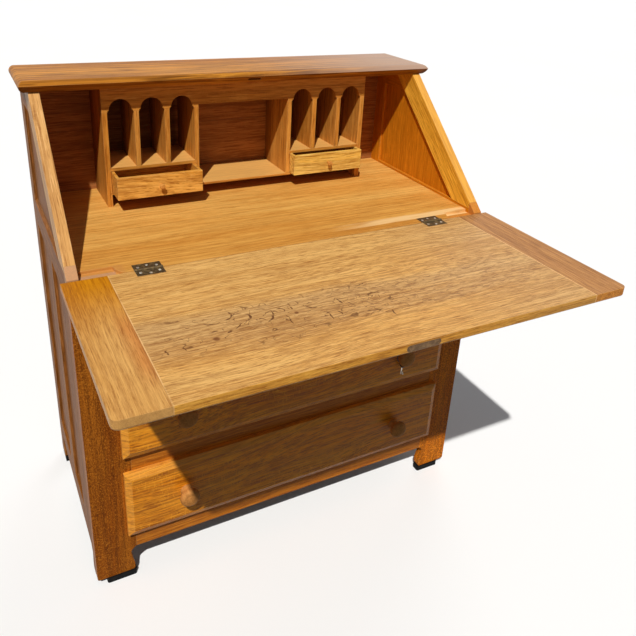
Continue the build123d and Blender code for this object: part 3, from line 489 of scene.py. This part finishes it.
def bed_wear(tree, place, colour):
    """Deeper towards the front, with a pale rubbed strip at its right and a pale rebate at its left."""
    x, y, _ = split(tree, place)
    colour = tinted(tree, span(tree, y, 0.14, 0.03), colour, 0.93, 0.85, 0.74)
    strip = times(tree, span(tree, y, *STRIP_FRONT), span(tree, y, *STRIP_BACK), span(tree, x, 0.06, 0.22))
    rub = span(tree, noise(tree, place, (9.0, 120.0, 1.0), detail=3.0), 0.34, 0.56, 0.35, 0.9)
    colour = mix(tree, times(tree, strip, rub), colour, tone(242, 200, 138))
    rebate = times(tree, span(tree, y, *REBATE_BACK), span(tree, x, *REBATE_END, 0.0, 0.8))
    return mix(tree, rebate, colour, tone(198, 136, 68))


def slant_tones(tree, place, colour):
    """The right stile kept its orange, brown outside and rubbed on its slope; the left one is pale."""
    right = right_half(tree, place)
    colour = tinted(tree, right, colour, 1.45, 1.42, 0.42)
    colour = mix(tree, times(tree, right, faces_up(tree), 0.55), colour, tone(226, 164, 88))
    outside = times(tree, right, span(tree, face_normal(tree)[0], 0.5, 0.8, 0.0, 0.85))
    return mix(tree, outside, colour, tone(142, 86, 37))


def shelf_painted_top_light(tree, place, colour):
    """Painted light: shelves are paler on top than along their edges."""
    return mix(tree, times(tree, faces_up(tree), 0.6), colour, tone(226, 178, 104))


def bevel_light_and_wear(tree, place, colour):
    """Painted light and wear: the upper bevel of a drawer front is pale, and a little its left one, in
    rubbed patches.
    """
    left = span(tree, face_normal(tree)[0], -0.2, -0.4, 0.0, 0.3)
    rub = span(tree, noise(tree, place, (30.0, 30.0, 160.0), detail=3.0), 0.30, 0.60, 0.5, 1.0)
    # painted light on the bevels that face up and to the left, broken into rubbed patches
    worn = times(tree, calc(tree, "MAXIMUM", left, times(tree, faces_up(tree), 0.35)), rub)
    return mix(tree, worn, colour, tone(246, 178, 84))


def small_tones(tree, place, colour):
    """The right small drawer is paler than the left one."""
    return tinted(tree, span(tree, split(tree, place)[0], -0.05, 0.05), colour, 1.1, 1.4, 1.7)


HOLE_FRONT, HOLE_BACK = (corner.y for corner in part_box("gallery_partitions"))
HOLE_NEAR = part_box("gallery_centre_walls")[1].x
HOLE_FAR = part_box("gallery_shelves")[1].x
HOLE_SOFT = 0.01
BOARD_FOOT = 0.0504
BOARD_STEP = 0.1014


def hole_painted_shade(tree, place, colour):
    """Painted shade: the uprights are darker towards the backs of the pigeonholes."""
    # painted shade deepening from the middle of the pigeonholes to their backs
    deep = span(tree, split(tree, place)[1], (HOLE_FRONT + HOLE_BACK) / 2, HOLE_BACK)
    return tinted(tree, deep, colour, 0.45, 0.42, 0.45)


def board_tones_and_hole_shade(tree, place, colour):
    """Back boards that differ a little in tone, with painted shade darkening them within the pigeonholes."""
    x, _, height = split(tree, place)
    away = calc(tree, "ABSOLUTE", x)
    near = span(tree, away, HOLE_NEAR, HOLE_NEAR + HOLE_SOFT)
    far = span(tree, away, HOLE_FAR, HOLE_FAR - HOLE_SOFT)
    # painted shade on the front faces of the boards within the pigeonholes
    colour = tinted(tree, times(tree, near, far, faces_front(tree)), colour, 0.40, 0.40, 0.45)
    row = calc(tree, "FLOOR", calc(tree, "DIVIDE", calc(tree, "SUBTRACT", height, BOARD_FOOT), BOARD_STEP))
    chance = put(tree, "ShaderNodeTexWhiteNoise", noise_dimensions="1D")
    wire(tree, row, chance.inputs["W"])
    return mix(tree, times(tree, chance.outputs["Value"], 0.45), colour, tone(112, 62, 24))


# metal and rubber

def metal(name, base, bright, roughness, metallic, worn=0.5):
    """Metal with tarnish blotches and rubbed edges."""
    material, tree, shader, place = new_material(name)
    blotch = noise(tree, place, (160.0, 160.0, 160.0), detail=4.0)
    grain = noise(tree, place, (900.0, 900.0, 900.0), detail=2.0)
    edges = use_group(tree, WORN_EDGES, Place=place, Radius=0.0005, Wear=worn)
    colour = mix(tree, span(tree, blotch, 0.42, 0.70, 0.0, 0.6), tone(*base), tone(*bright))
    wire(tree, mix(tree, edges["Mask"], colour, tone(*bright)), shader["Base Color"])
    wire(tree, calc(tree, "MULTIPLY_ADD", blotch, 0.25, roughness - 0.12), shader["Roughness"])
    wire(tree, bump(tree, grain, edges["Normal"], 0.2, 0.0002), shader["Normal"])
    shader["Metallic"].default_value = metallic
    return material


def rubber(name):
    """Dull black rubber with some dust on it."""
    material, tree, shader, place = new_material(name)
    grit = noise(tree, place, (700.0, 700.0, 700.0), detail=3.0)
    dust = span(tree, noise(tree, place, (60.0, 60.0, 60.0), detail=4.0), 0.45, 0.70)
    edges = use_group(tree, WORN_EDGES, Place=place, Wear=0.3)
    colour = mix(tree, times(tree, dust, 0.4), tone(12, 12, 13), tone(34, 33, 31))
    wire(tree, colour, shader["Base Color"])
    wire(tree, calc(tree, "MULTIPLY_ADD", grit, 0.2, 0.6), shader["Roughness"])
    wire(tree, bump(tree, grit, edges["Normal"], 0.3, 0.0004), shader["Normal"])
    shader["Specular IOR Level"].default_value = 0.12
    return material


# the finishes: pale, middle and dark tone of the oak, then its wear and its figure

top_oak = oak(
    "top_oak", "across", (222, 150, 54), (178, 111, 35), (90, 48, 11),
    shift=0.3, worn=0.6, gloss=0.05, extra=top_painted_reflection,
    Lines=0.5, Bands=0.8, Grit=0.9, Dash=6.0, Close=95.0,
)
bed_oak = oak(
    "bed_oak", "across", (238, 186, 100), (220, 158, 74), (158, 96, 28),
    shift=1.1, worn=0.3, gloss=0.12, fine=1.5, extra=bed_wear,
    Lines=0.36, Pores=0.4, Bands=0.9, Grit=0.65, Dash=12.0, Close=280.0,
)
fall_oak = oak(
    "fall_oak", "across", (240, 192, 116), (222, 166, 90), (146, 90, 36),
    shift=2.4, worn=0.45, gloss=0.14, fine=1.7, extra=fall_band,
    Lines=0.42, Waver=0.7, Bands=0.7, Grit=0.95, Dash=18.0, Close=300.0,
)
left_end_oak = oak(
    "left_end_oak", "deep", (232, 180, 106), (212, 156, 82), (142, 82, 28),
    shift=3.2, worn=0.25, gloss=0.12, fine=1.5, extra=left_end_tones,
    Lines=0.34, Bands=0.6, Grit=0.65, Dash=20.0, Close=380.0,
)
right_end_oak = oak(
    "right_end_oak", "deep", (210, 154, 92), (186, 129, 70), (120, 68, 28),
    shift=4.6, worn=0.5, gloss=0.12, fine=1.4, extra=right_end_tones,
    Lines=0.5, Grit=0.8, Dash=12.0, Close=300.0,
)
stile_oak = oak(
    "stile_oak", "upright", (212, 130, 38), (152, 79, 16), (82, 36, 6),
    shift=5.3, worn=0.4, gloss=0.06, fine=1.7, extra=stile_tones,
    Lines=0.5, Pores=0.8, Fleck=0.8, Bands=0.35, Grit=1.0, Dash=150.0, Close=420.0,
)
rail_oak = oak(
    "rail_oak", "across", (222, 142, 46), (200, 116, 27), (130, 64, 11),
    shift=6.1, worn=0.5, gloss=0.14,
    Lines=0.5, Grit=0.9,
)
side_upright = oak(
    "side_upright", "upright", (180, 118, 62), (142, 86, 37), (86, 47, 15),
    shift=7.7, worn=0.55, gloss=0.02, extra=inside_tone,
    Lines=0.5, Grit=0.9,
)
side_level = oak(
    "side_level", "deep", (180, 118, 62), (142, 86, 37), (86, 47, 15),
    shift=8.2, worn=0.55, gloss=0.02, extra=inside_tone,
    Lines=0.5, Grit=0.9,
)
side_panel = oak(
    "side_panel", "upright", (180, 118, 62), (142, 86, 37), (86, 47, 15),
    shift=9.4, worn=0.2, gloss=0.02, extra=inside_tone,
    Lines=0.5, Waver=0.8, Grit=0.9,
)
slant_oak = oak(
    "slant_oak", "slanted", (236, 186, 122), (214, 160, 92), (152, 96, 46),
    shift=10.3, worn=0.55, gloss=0.08, extra=slant_tones,
    Lines=0.45, Grit=0.9,
)
gallery_level = oak(
    "gallery_level", "across", (228, 166, 80), (212, 142, 56), (152, 86, 22),
    shift=11.5, worn=0.5, gloss=0.1, extra=shelf_painted_top_light,
    Lines=0.46, Grit=0.9,
)
gallery_upright = oak(
    "gallery_upright", "upright", (226, 164, 80), (208, 138, 52), (150, 84, 22),
    shift=12.6, worn=0.5, gloss=0.1, extra=hole_painted_shade,
    Lines=0.46, Grit=0.9,
)
front_oak = oak(
    "front_oak", "across", (255, 176, 52), (243, 144, 20), (138, 66, 6),
    shift=13.8, worn=0.6, gloss=0.2, extra=bevel_light_and_wear,
    Lines=0.6, Waver=1.7, Fleck=0.6, Bands=0.6, Grit=0.9,
)
small_front_oak = oak(
    "small_front_oak", "across", (244, 188, 98), (230, 160, 60), (150, 86, 22),
    shift=14.9, worn=0.5, gloss=0.1, extra=small_tones,
    Lines=0.5, Waver=1.2, Grit=0.9,
)
knob_oak = oak(
    "knob_oak", "deep", (228, 162, 92), (200, 134, 68), (136, 86, 40),
    shift=15.4, worn=0.0, gloss=0.03,
    Lines=0.4, Pores=0.2, Grit=0.25,
)
knob_pale = oak(
    "knob_pale", "deep", (230, 170, 92), (210, 142, 62), (160, 96, 36),
    shift=16.8, worn=0.0, gloss=0.06,
    Lines=0.4,
)
inner_wood = oak(
    "inner_wood", "deep", (214, 172, 118), (194, 148, 92), (154, 108, 62),
    shift=17.2, worn=0.2,
    Lines=0.4,
)
back_oak = oak(
    "back_oak", "across", (222, 152, 92), (196, 128, 70), (126, 72, 32),
    shift=18.6, worn=0.2, gloss=0.06, extra=board_tones_and_hole_shade,
    Lines=0.6, Bands=0.5, Grit=0.9,
)
bronze = metal("bronze", (84, 68, 44), (140, 116, 76), 0.5, 0.75, worn=0.7)
lock_brass = metal("lock_brass", (100, 74, 48), (156, 124, 86), 0.55, 0.6, worn=0.7)
bright_steel = metal("bright_steel", (196, 188, 172), (232, 226, 212), 0.38, 0.85)
key_iron = metal("key_iron", (16, 16, 18), (70, 70, 72), 0.42, 0.6, worn=0.5)
pad_rubber = rubber("pad_rubber")

# which nodes of the frame get which finish
DRESS = {
    top_oak: ("top_board",),
    bed_oak: ("writing_bed", "bed_rail"),
    fall_oak: ("fall_panel",),
    left_end_oak: ("fall_left_end",),
    right_end_oak: ("fall_right_end",),
    stile_oak: ("front_stiles",),
    rail_oak: ("bottom_rail", "drawer_rails"),
    side_upright: ("side_front_stiles", "rear_stiles", "side_muntins"),
    side_level: ("side_top_rails", "side_mid_rails", "side_bottom_rails"),
    side_panel: ("side_upper_panels", "side_lower_panels"),
    slant_oak: ("slant_stiles",),
    gallery_level: ("gallery_header", "gallery_floor", "gallery_shelves"),
    gallery_upright: ("gallery_ends", "gallery_centre_walls", "gallery_partitions"),
    front_oak: ("lower_front", "middle_front", "upper_front"),
    small_front_oak: ("left_small_front", "right_small_front", "left_small_walls", "right_small_walls"),
    inner_wood: (
        "drawer_runners", "loper_guides", "left_loper", "right_loper",
        "left_small_floor", "right_small_floor", "lower_walls", "lower_floor",
        "middle_walls", "middle_floor", "upper_walls", "upper_floor",
    ),
    knob_oak: ("lower_knobs", "middle_knobs", "upper_knobs"),
    knob_pale: ("left_small_knob", "right_small_knob"),
    back_oak: ("back_boards",),
    bronze: ("hinge_case_leaves", "hinge_fall_leaves"),
    lock_brass: ("lock_plate", "lock_case", "lock_bolt"),
    bright_steel: ("hinge_pins",),
    key_iron: ("key_on_ring",),
    pad_rubber: ("foot_pads",),
}
for material, names in DRESS.items():
    for name in names:
        nodes[name].data.materials.clear()
        nodes[name].data.materials.append(material)


# turned knobs

# outlines as radius and distance from the drawer front, in millimetres
KNOB = [
    (13.0, 0.0), (13.0, 1.0), (12.0, 2.4), (10.2, 4.2), (9.5, 7.0), (9.5, 10.5), (10.2, 13.0),
    (13.0, 15.8), (17.6, 18.0), (20.0, 20.6), (20.8, 24.0), (20.4, 27.0), (18.8, 30.0), (15.8, 32.0),
    (12.6, 32.9), (11.4, 32.7), (10.2, 33.4), (5.6, 34.3), (0.0, 34.5),
]
SMALL_KNOB = [
    (2.9, 0.0), (2.6, 1.2), (2.5, 3.6), (2.9, 5.0), (4.2, 6.6), (5.5, 8.0), (5.8, 9.3), (5.4, 10.8),
    (4.2, 11.7), (2.2, 12.0), (0.0, 12.0),
]
KNOB_SIDES = 64


def smooth_profile(points, steps=4):
    """Smooth curve through points in millimetres, as points in metres."""
    curve = []
    last = len(points) - 1
    for i in range(last):
        before, start, end, after = (Vector(points[min(max(k, 0), last)]) for k in (i - 1, i, i + 1, i + 2))
        for step in range(steps):
            t = step / steps
            square = (2 * before - 5 * start + 4 * end - after) * t * t
            cube = (3 * start - before - 3 * end + after) * t ** 3
            curve.append((start + ((end - before) * t + (square + cube)) / 2) / 1000)
    curve.append(Vector(points[-1]) / 1000)
    return curve


def turned_knobs(name, profile, centres, material, body, node, slot):
    """Knobs turned about Y, standing forward from the given points."""
    curve = smooth_profile(profile)
    shape = bmesh.new()
    for centre in centres:
        rings = []
        for point in curve[:-1]:
            ring = []
            for k in range(KNOB_SIDES):
                angle = 2 * pi * k / KNOB_SIDES
                spot = Vector((cos(angle) * point.x, -point.y, sin(angle) * point.x))
                ring.append(shape.verts.new(centre + spot))
            rings.append(ring)
        tip = shape.verts.new(centre + Vector((0, -curve[-1].y, 0)))
        heel = shape.verts.new(centre)
        for low, high in zip(rings, rings[1:]):
            for k in range(KNOB_SIDES):
                after = (k + 1) % KNOB_SIDES
                shape.faces.new((low[k], low[after], high[after], high[k]))
        for k in range(KNOB_SIDES):
            after = (k + 1) % KNOB_SIDES
            shape.faces.new((rings[-1][k], rings[-1][after], tip))
            shape.faces.new((rings[0][after], rings[0][k], heel))
    finish_piece(name, shape, material, body, slot, node)


def finish_piece(name, shape, material, body, slot, *stands_for, smooth=True):
    """Makes an object of a bmesh, gives it its finish and lets it ride on its body."""
    bmesh.ops.recalc_face_normals(shape, faces=shape.faces)
    for face in shape.faces:
        face.smooth = smooth
    mesh = bpy.data.meshes.new(name)
    shape.to_mesh(mesh)
    shape.free()
    mesh.materials.append(material)
    piece = bpy.data.objects.new(name, mesh)
    scene.collection.objects.link(piece)
    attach(piece, body)
    if stands_for:
        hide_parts(*stands_for)
    return piece


def knob_seat(node, front, side):
    """Middle of a knob on the face of its drawer front; side picks the left or right one."""
    low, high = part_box(node)
    reach = (high.z - low.z) / 2
    x = high.x - reach if side > 0 else low.x + reach
    return Vector((x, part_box(front)[0].y, (low.z + high.z) / 2))


for level in ("lower", "middle", "upper"):
    seats = [knob_seat(level + "_knobs", level + "_front", side) for side in (-1, 1)]
    turned_knobs(
        level + "_turned_knobs", KNOB, seats, knob_oak, level + "_drawer", level + "_knobs", "knob_oak"
    )
for side in ("left", "right"):
    seat = knob_seat(side + "_small_knob", side + "_small_front", 1)
    turned_knobs(
        side + "_small_turned_knob", SMALL_KNOB, [seat], knob_pale,
        side + "_small_drawer", side + "_small_knob", "knob_pale",
    )


# screws of the hinges and the lock plate

HINGE_L = 0.0508
LEAF_W = 0.0235
KNUCKLE_R = 0.0028
LEAF_SCREWS = 3
SCREW_LINE = 0.58
ZIGZAG = 0.0025
LOCK_SCREW_REACH = 0.026
HEAD_R = 0.0031
HEAD_DEPTH = 0.0016
HEAD_TAPER = 0.82
HEAD_RISE = 0.0003
HEAD_SIDES = 32
SLOT_W = 0.0008
SLOT_DEPTH = 0.0008


def make_screw_tree():
    """Slotted screw heads on points; each point's turn attribute gives the way its head faces."""
    tree = bpy.data.node_groups.new("slotted_screws", "GeometryNodeTree")
    sizes = (
        ("Head Radius", HEAD_R), ("Head Depth", HEAD_DEPTH),
        ("Slot Width", SLOT_W), ("Slot Depth", SLOT_DEPTH),
    )
    tree.interface.new_socket("Points", in_out="INPUT", socket_type="NodeSocketGeometry")
    for label, value in sizes:
        tree.interface.new_socket(label, in_out="INPUT", socket_type="NodeSocketFloat").default_value = value
    tree.interface.new_socket("Finish", in_out="INPUT", socket_type="NodeSocketMaterial")
    tree.interface.new_socket("Screws", in_out="OUTPUT", socket_type="NodeSocketGeometry")
    given = put(tree, "NodeGroupInput").outputs
    head = put(tree, "GeometryNodeMeshCone")
    head.inputs["Vertices"].default_value = HEAD_SIDES
    wire(tree, times(tree, given["Head Radius"], HEAD_TAPER), head.inputs["Radius Top"])
    wire(tree, given["Head Radius"], head.inputs["Radius Bottom"])
    wire(tree, given["Head Depth"], head.inputs["Depth"])
    size = put(tree, "ShaderNodeCombineXYZ")
    wire(tree, times(tree, given["Head Radius"], 3.0), size.inputs["X"])
    wire(tree, given["Slot Width"], size.inputs["Y"])
    wire(tree, times(tree, given["Slot Depth"], 2.0), size.inputs["Z"])
    cutter = put(tree, "GeometryNodeMeshCube")
    wire(tree, size.outputs[0], cutter.inputs["Size"])
    lift = put(tree, "ShaderNodeCombineXYZ")
    wire(tree, given["Head Depth"], lift.inputs["Z"])
    raised = put(tree, "GeometryNodeTransform")
    wire(tree, cutter.outputs["Mesh"], raised.inputs["Geometry"])
    wire(tree, lift.outputs[0], raised.inputs["Translation"])
    cut = put(tree, "GeometryNodeMeshBoolean", operation="DIFFERENCE")
    wire(tree, head.outputs["Mesh"], cut.inputs["Mesh 1"])
    wire(tree, raised.outputs[0], cut.inputs["Mesh 2"])
    turn = put(tree, "GeometryNodeInputNamedAttribute", data_type="FLOAT_VECTOR")
    turn.inputs["Name"].default_value = "turn"
    facing = put(tree, "FunctionNodeEulerToRotation")
    wire(tree, turn.outputs["Attribute"], facing.inputs[0])
    spread = put(tree, "GeometryNodeInstanceOnPoints")
    wire(tree, given["Points"], spread.inputs["Points"])
    wire(tree, cut.outputs["Mesh"], spread.inputs["Instance"])
    wire(tree, facing.outputs[0], spread.inputs["Rotation"])
    solid = put(tree, "GeometryNodeRealizeInstances")
    wire(tree, spread.outputs[0], solid.inputs[0])
    dressed = put(tree, "GeometryNodeSetMaterial")
    wire(tree, solid.outputs[0], dressed.inputs["Geometry"])
    wire(tree, given["Finish"], dressed.inputs["Material"])
    wire(tree, dressed.outputs[0], put(tree, "NodeGroupOutput").inputs[0])
    return tree


SCREW_TREE = make_screw_tree()


def drive_screws(name, spots, body, finish):
    """One mesh of screw heads for a body; each spot is a point and the turn of its head in radians."""
    mesh = bpy.data.meshes.new(name)
    mesh.from_pydata([point for point, _ in spots], [], [])
    turns = mesh.attributes.new("turn", "FLOAT_VECTOR", "POINT")
    for k, (_, turn) in enumerate(spots):
        turns.data[k].vector = turn
    piece = bpy.data.objects.new(name, mesh)
    scene.collection.objects.link(piece)
    tool = piece.modifiers.new("screws", "NODES")
    tool.node_group = SCREW_TREE
    for item in SCREW_TREE.interface.items_tree:
        if item.name == "Finish":
            tool[item.identifier] = finish
    ready = piece.evaluated_get(bpy.context.evaluated_depsgraph_get())
    solid = bpy.data.meshes.new_from_object(ready)
    piece.modifiers.clear()
    piece.data = solid
    solid.name = name
    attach(piece, body)


def leaf_spots(node, sign):
    """Screws in each leaf of a hinge pair, set in a shallow zigzag with their slots turned anyhow."""
    low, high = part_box(node)
    axis = high.y - KNUCKLE_R if sign < 0 else low.y + KNUCKLE_R
    z = high.z - KNUCKLE_R + HEAD_RISE - HEAD_DEPTH
    spots = []
    for side in (-1, 1):
        for k in range(LEAF_SCREWS):
            x = side * (high.x - HINGE_L + HINGE_L * (k + 0.5) / LEAF_SCREWS)
            y = axis + sign * (LEAF_W * SCREW_LINE + (ZIGZAG if k % 2 else -ZIGZAG))
            angle = 0.7 + 1.9 * k + 0.8 * side + 0.5 * sign
            spots.append(((x, y, z), (0, 0, angle)))
    return spots


def lock_spots():
    """Screws at both ends of the lock plate, with their heads forward."""
    low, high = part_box("lock_plate")
    middle = (low + high) / 2
    spots = []
    for side in (-1, 1):
        seat = (middle.x + side * LOCK_SCREW_REACH, low.y - HEAD_RISE + HEAD_DEPTH, middle.z)
        spots.append((seat, (pi / 2, 0.4 + side * 0.9, 0)))
    return spots


drive_screws("case_hinge_screws", leaf_spots("hinge_case_leaves", 1), "case", bright_steel)
drive_screws("fall_hinge_screws", leaf_spots("hinge_fall_leaves", -1), "fall", bright_steel)
drive_screws("lock_screws", lock_spots(), "fall", lock_brass)


# key on its ring

RING_R = 0.015
RING_WIRE = 0.0009
BOW_R = 0.0085
BOW_T = 0.0042
BOW_ROUND = 0.0008
EYE_R = 0.0042
EYE_UP = 0.0026
HANG_GAP = 0.00015
SHANK_R = 0.0017
SHANK_BURY = 0.0006
BIT_T = 0.0020
BIT_H = 0.0028
# the two teeth: height over the tip and width
BITS = [(0.0016, 0.0074), (0.0052, 0.0060)]


def tube_loop(shape, centre, radius, gauge, across, up, sides=10, turns=48):
    """Round wire bent to a ring in the plane of two unit vectors."""
    out = across.cross(up)
    rings = []
    for k in range(turns):
        angle = 2 * pi * k / turns
        spoke = across * cos(angle) + up * sin(angle)
        ring = []
        for j in range(sides):
            turn = 2 * pi * j / sides
            spot = spoke * (radius + gauge * cos(turn)) + out * gauge * sin(turn)
            ring.append(shape.verts.new(centre + spot))
        rings.append(ring)
    for k in range(turns):
        for j in range(sides):
            a, b = rings[k], rings[(k + 1) % turns]
            shape.faces.new((a[j], a[(j + 1) % sides], b[(j + 1) % sides], b[j]))


def circle_yz(shape, x, y, z, radius, count=48):
    """Points on a circle in the YZ plane."""
    angles = [2 * pi * k / count for k in range(count)]
    return [shape.verts.new((x, y + radius * cos(a), z + radius * sin(a))) for a in angles]


def key_bow(shape, x, y, bow_z, eye_z):
    """Thick rounded disc in the YZ plane with an eye through its upper part."""
    half = BOW_T / 2
    section = [(-half, BOW_ROUND), (BOW_ROUND - half, 0.0), (half - BOW_ROUND, 0.0), (half, BOW_ROUND)]
    loops = []
    for offset, inset in section:
        loops.append(circle_yz(shape, x + offset, y, bow_z, BOW_R - inset))
    for offset, inset in reversed(section):
        loops.append(circle_yz(shape, x + offset, y, eye_z, EYE_R - BOW_ROUND / 2 + inset / 2))
    for this, other in zip(loops, loops[1:] + loops[:1]):
        for k in range(len(this)):
            after = (k + 1) % len(this)
            shape.faces.new((this[k], this[after], other[after], other[k]))


def key_and_ring():
    """Ring and bow as one piece of iron, the shank with its bit as one of steel."""
    low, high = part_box("key_on_ring")
    middle = (low + high) / 2
    ring_mid = Vector((middle.x, middle.y, high.z - RING_R - RING_WIRE))
    eye_z = ring_mid.z - RING_R + RING_WIRE + HANG_GAP - EYE_R
    bow_z = eye_z - EYE_UP
    shape = bmesh.new()
    tube_loop(shape, ring_mid, RING_R, RING_WIRE, Vector((1, 0, 0)), Vector((0, 0, 1)))
    key_bow(shape, middle.x, middle.y, bow_z, eye_z)
    finish_piece("key_ring_and_bow", shape, key_iron, "middle_drawer", "key_iron", "key_on_ring")
    shape = bmesh.new()
    shank_top = bow_z - BOW_R + SHANK_BURY
    bmesh.ops.create_cone(
        shape, cap_ends=True, segments=24, radius1=SHANK_R, radius2=SHANK_R, depth=shank_top - low.z,
        matrix=Matrix.Translation((middle.x, middle.y, (shank_top + low.z) / 2)),
    )
    for rise, width in BITS:
        spot = Matrix.Translation((middle.x, middle.y - width / 2, low.z + rise + BIT_H / 2))
        bmesh.ops.create_cube(shape, size=1.0, matrix=spot @ Matrix.Diagonal((BIT_T, width, BIT_H, 1.0)))
    finish_piece(
        "key_shank", shape, bright_steel, "middle_drawer", "bright_steel", "key_on_ring", smooth=False
    )


key_and_ring()


# stage, light and camera

FLOOR_R = 40.0
WHITE = (1.0, 1.0, 1.0)
SKY = (0.94, 0.99, 1.10)
SKY_SEEN = 0.97
SKY_LIGHT = 0.125
# lamps: name, strength, width in degrees, colour and the way they shine
LAMPS = [
    ("key_light", 3.7, 1.0, (1.0, 0.985, 0.96), (0.66, 1.0, -1.58)),
    ("back_fill", 1.2, 40.0, WHITE, (-0.8, -1.0, -0.25)),
]
# the photograph's camera: its place, its turn in degrees, and its focal length and middle in pixels
CAMERA_PLACE = (-0.573, -1.112, 1.2737)
CAMERA_TURN = (66.672, -2.857, -27.433)
PHOTO_SIZE = 636
FOCAL_PIXELS = 676.96
CENTRE_ACROSS = 312.18
CENTRE_DOWN = 230.32
SENSOR = 36.0


def seen_directly(tree):
    """One for what the camera sees, also in gloss or through glass."""
    rays = put(tree, "ShaderNodeLightPath").outputs
    return calc(
        tree, "MAXIMUM", rays["Is Camera Ray"],
        calc(tree, "MAXIMUM", rays["Is Glossy Ray"], rays["Is Transmission Ray"]),
    )


def stage_floor():
    """Pale floor that throws little light back on the desk."""
    material, tree, shader, place = new_material("studio_floor")
    shade = noise(tree, place, (0.7, 0.7, 0.7), detail=2.0)
    pale = mix(tree, shade, tone(240, 240, 239), tone(244, 244, 243))
    wire(tree, mix(tree, seen_directly(tree), tone(62, 63, 66), pale), shader["Base Color"])
    shader["Roughness"].default_value = 0.9
    shape = bmesh.new()
    bmesh.ops.create_circle(shape, cap_ends=True, segments=96, radius=FLOOR_R)
    mesh = bpy.data.meshes.new("studio_floor")
    shape.to_mesh(mesh)
    shape.free()
    mesh.materials.append(material)
    floor = bpy.data.objects.new("studio_floor", mesh)
    scene.collection.objects.link(floor)


def studio_light():
    """White surround with a soft sky, a key light from the left and a wide fill for the back."""
    world = bpy.data.worlds.new("studio")
    world.use_nodes = True
    scene.world = world
    tree = world.node_tree
    background = tree.nodes["Background"].inputs
    seen = seen_directly(tree)
    wire(tree, mix(tree, seen, (*SKY, 1.0), (*WHITE, 1.0)), background["Color"])
    wire(tree, calc(tree, "MULTIPLY_ADD", seen, SKY_SEEN - SKY_LIGHT, SKY_LIGHT), background["Strength"])
    for name, energy, width, colour, heading in LAMPS:
        data = bpy.data.lights.new(name, "SUN")
        data.energy = energy
        data.angle = radians(width)
        data.color = colour
        lamp = bpy.data.objects.new(name, data)
        scene.collection.objects.link(lamp)
        lamp.rotation_euler = Vector(heading).to_track_quat("-Z", "Y").to_euler()
        lamp.visible_glossy = name == "key_light"


def photo_camera():
    """Camera that sees the desk as the photograph does."""
    data = bpy.data.cameras.new("photo_camera")
    data.sensor_width = SENSOR
    data.lens = SENSOR * FOCAL_PIXELS / PHOTO_SIZE
    data.shift_x = 0.5 - CENTRE_ACROSS / PHOTO_SIZE
    data.shift_y = CENTRE_DOWN / PHOTO_SIZE - 0.5
    data.clip_end = 200.0
    camera = bpy.data.objects.new("photo_camera", data)
    scene.collection.objects.link(camera)
    camera.location = CAMERA_PLACE
    camera.rotation_euler = [radians(angle) for angle in CAMERA_TURN]
    scene.camera = camera


stage_floor()
studio_light()
photo_camera()
scene.view_settings.view_transform = "Standard"
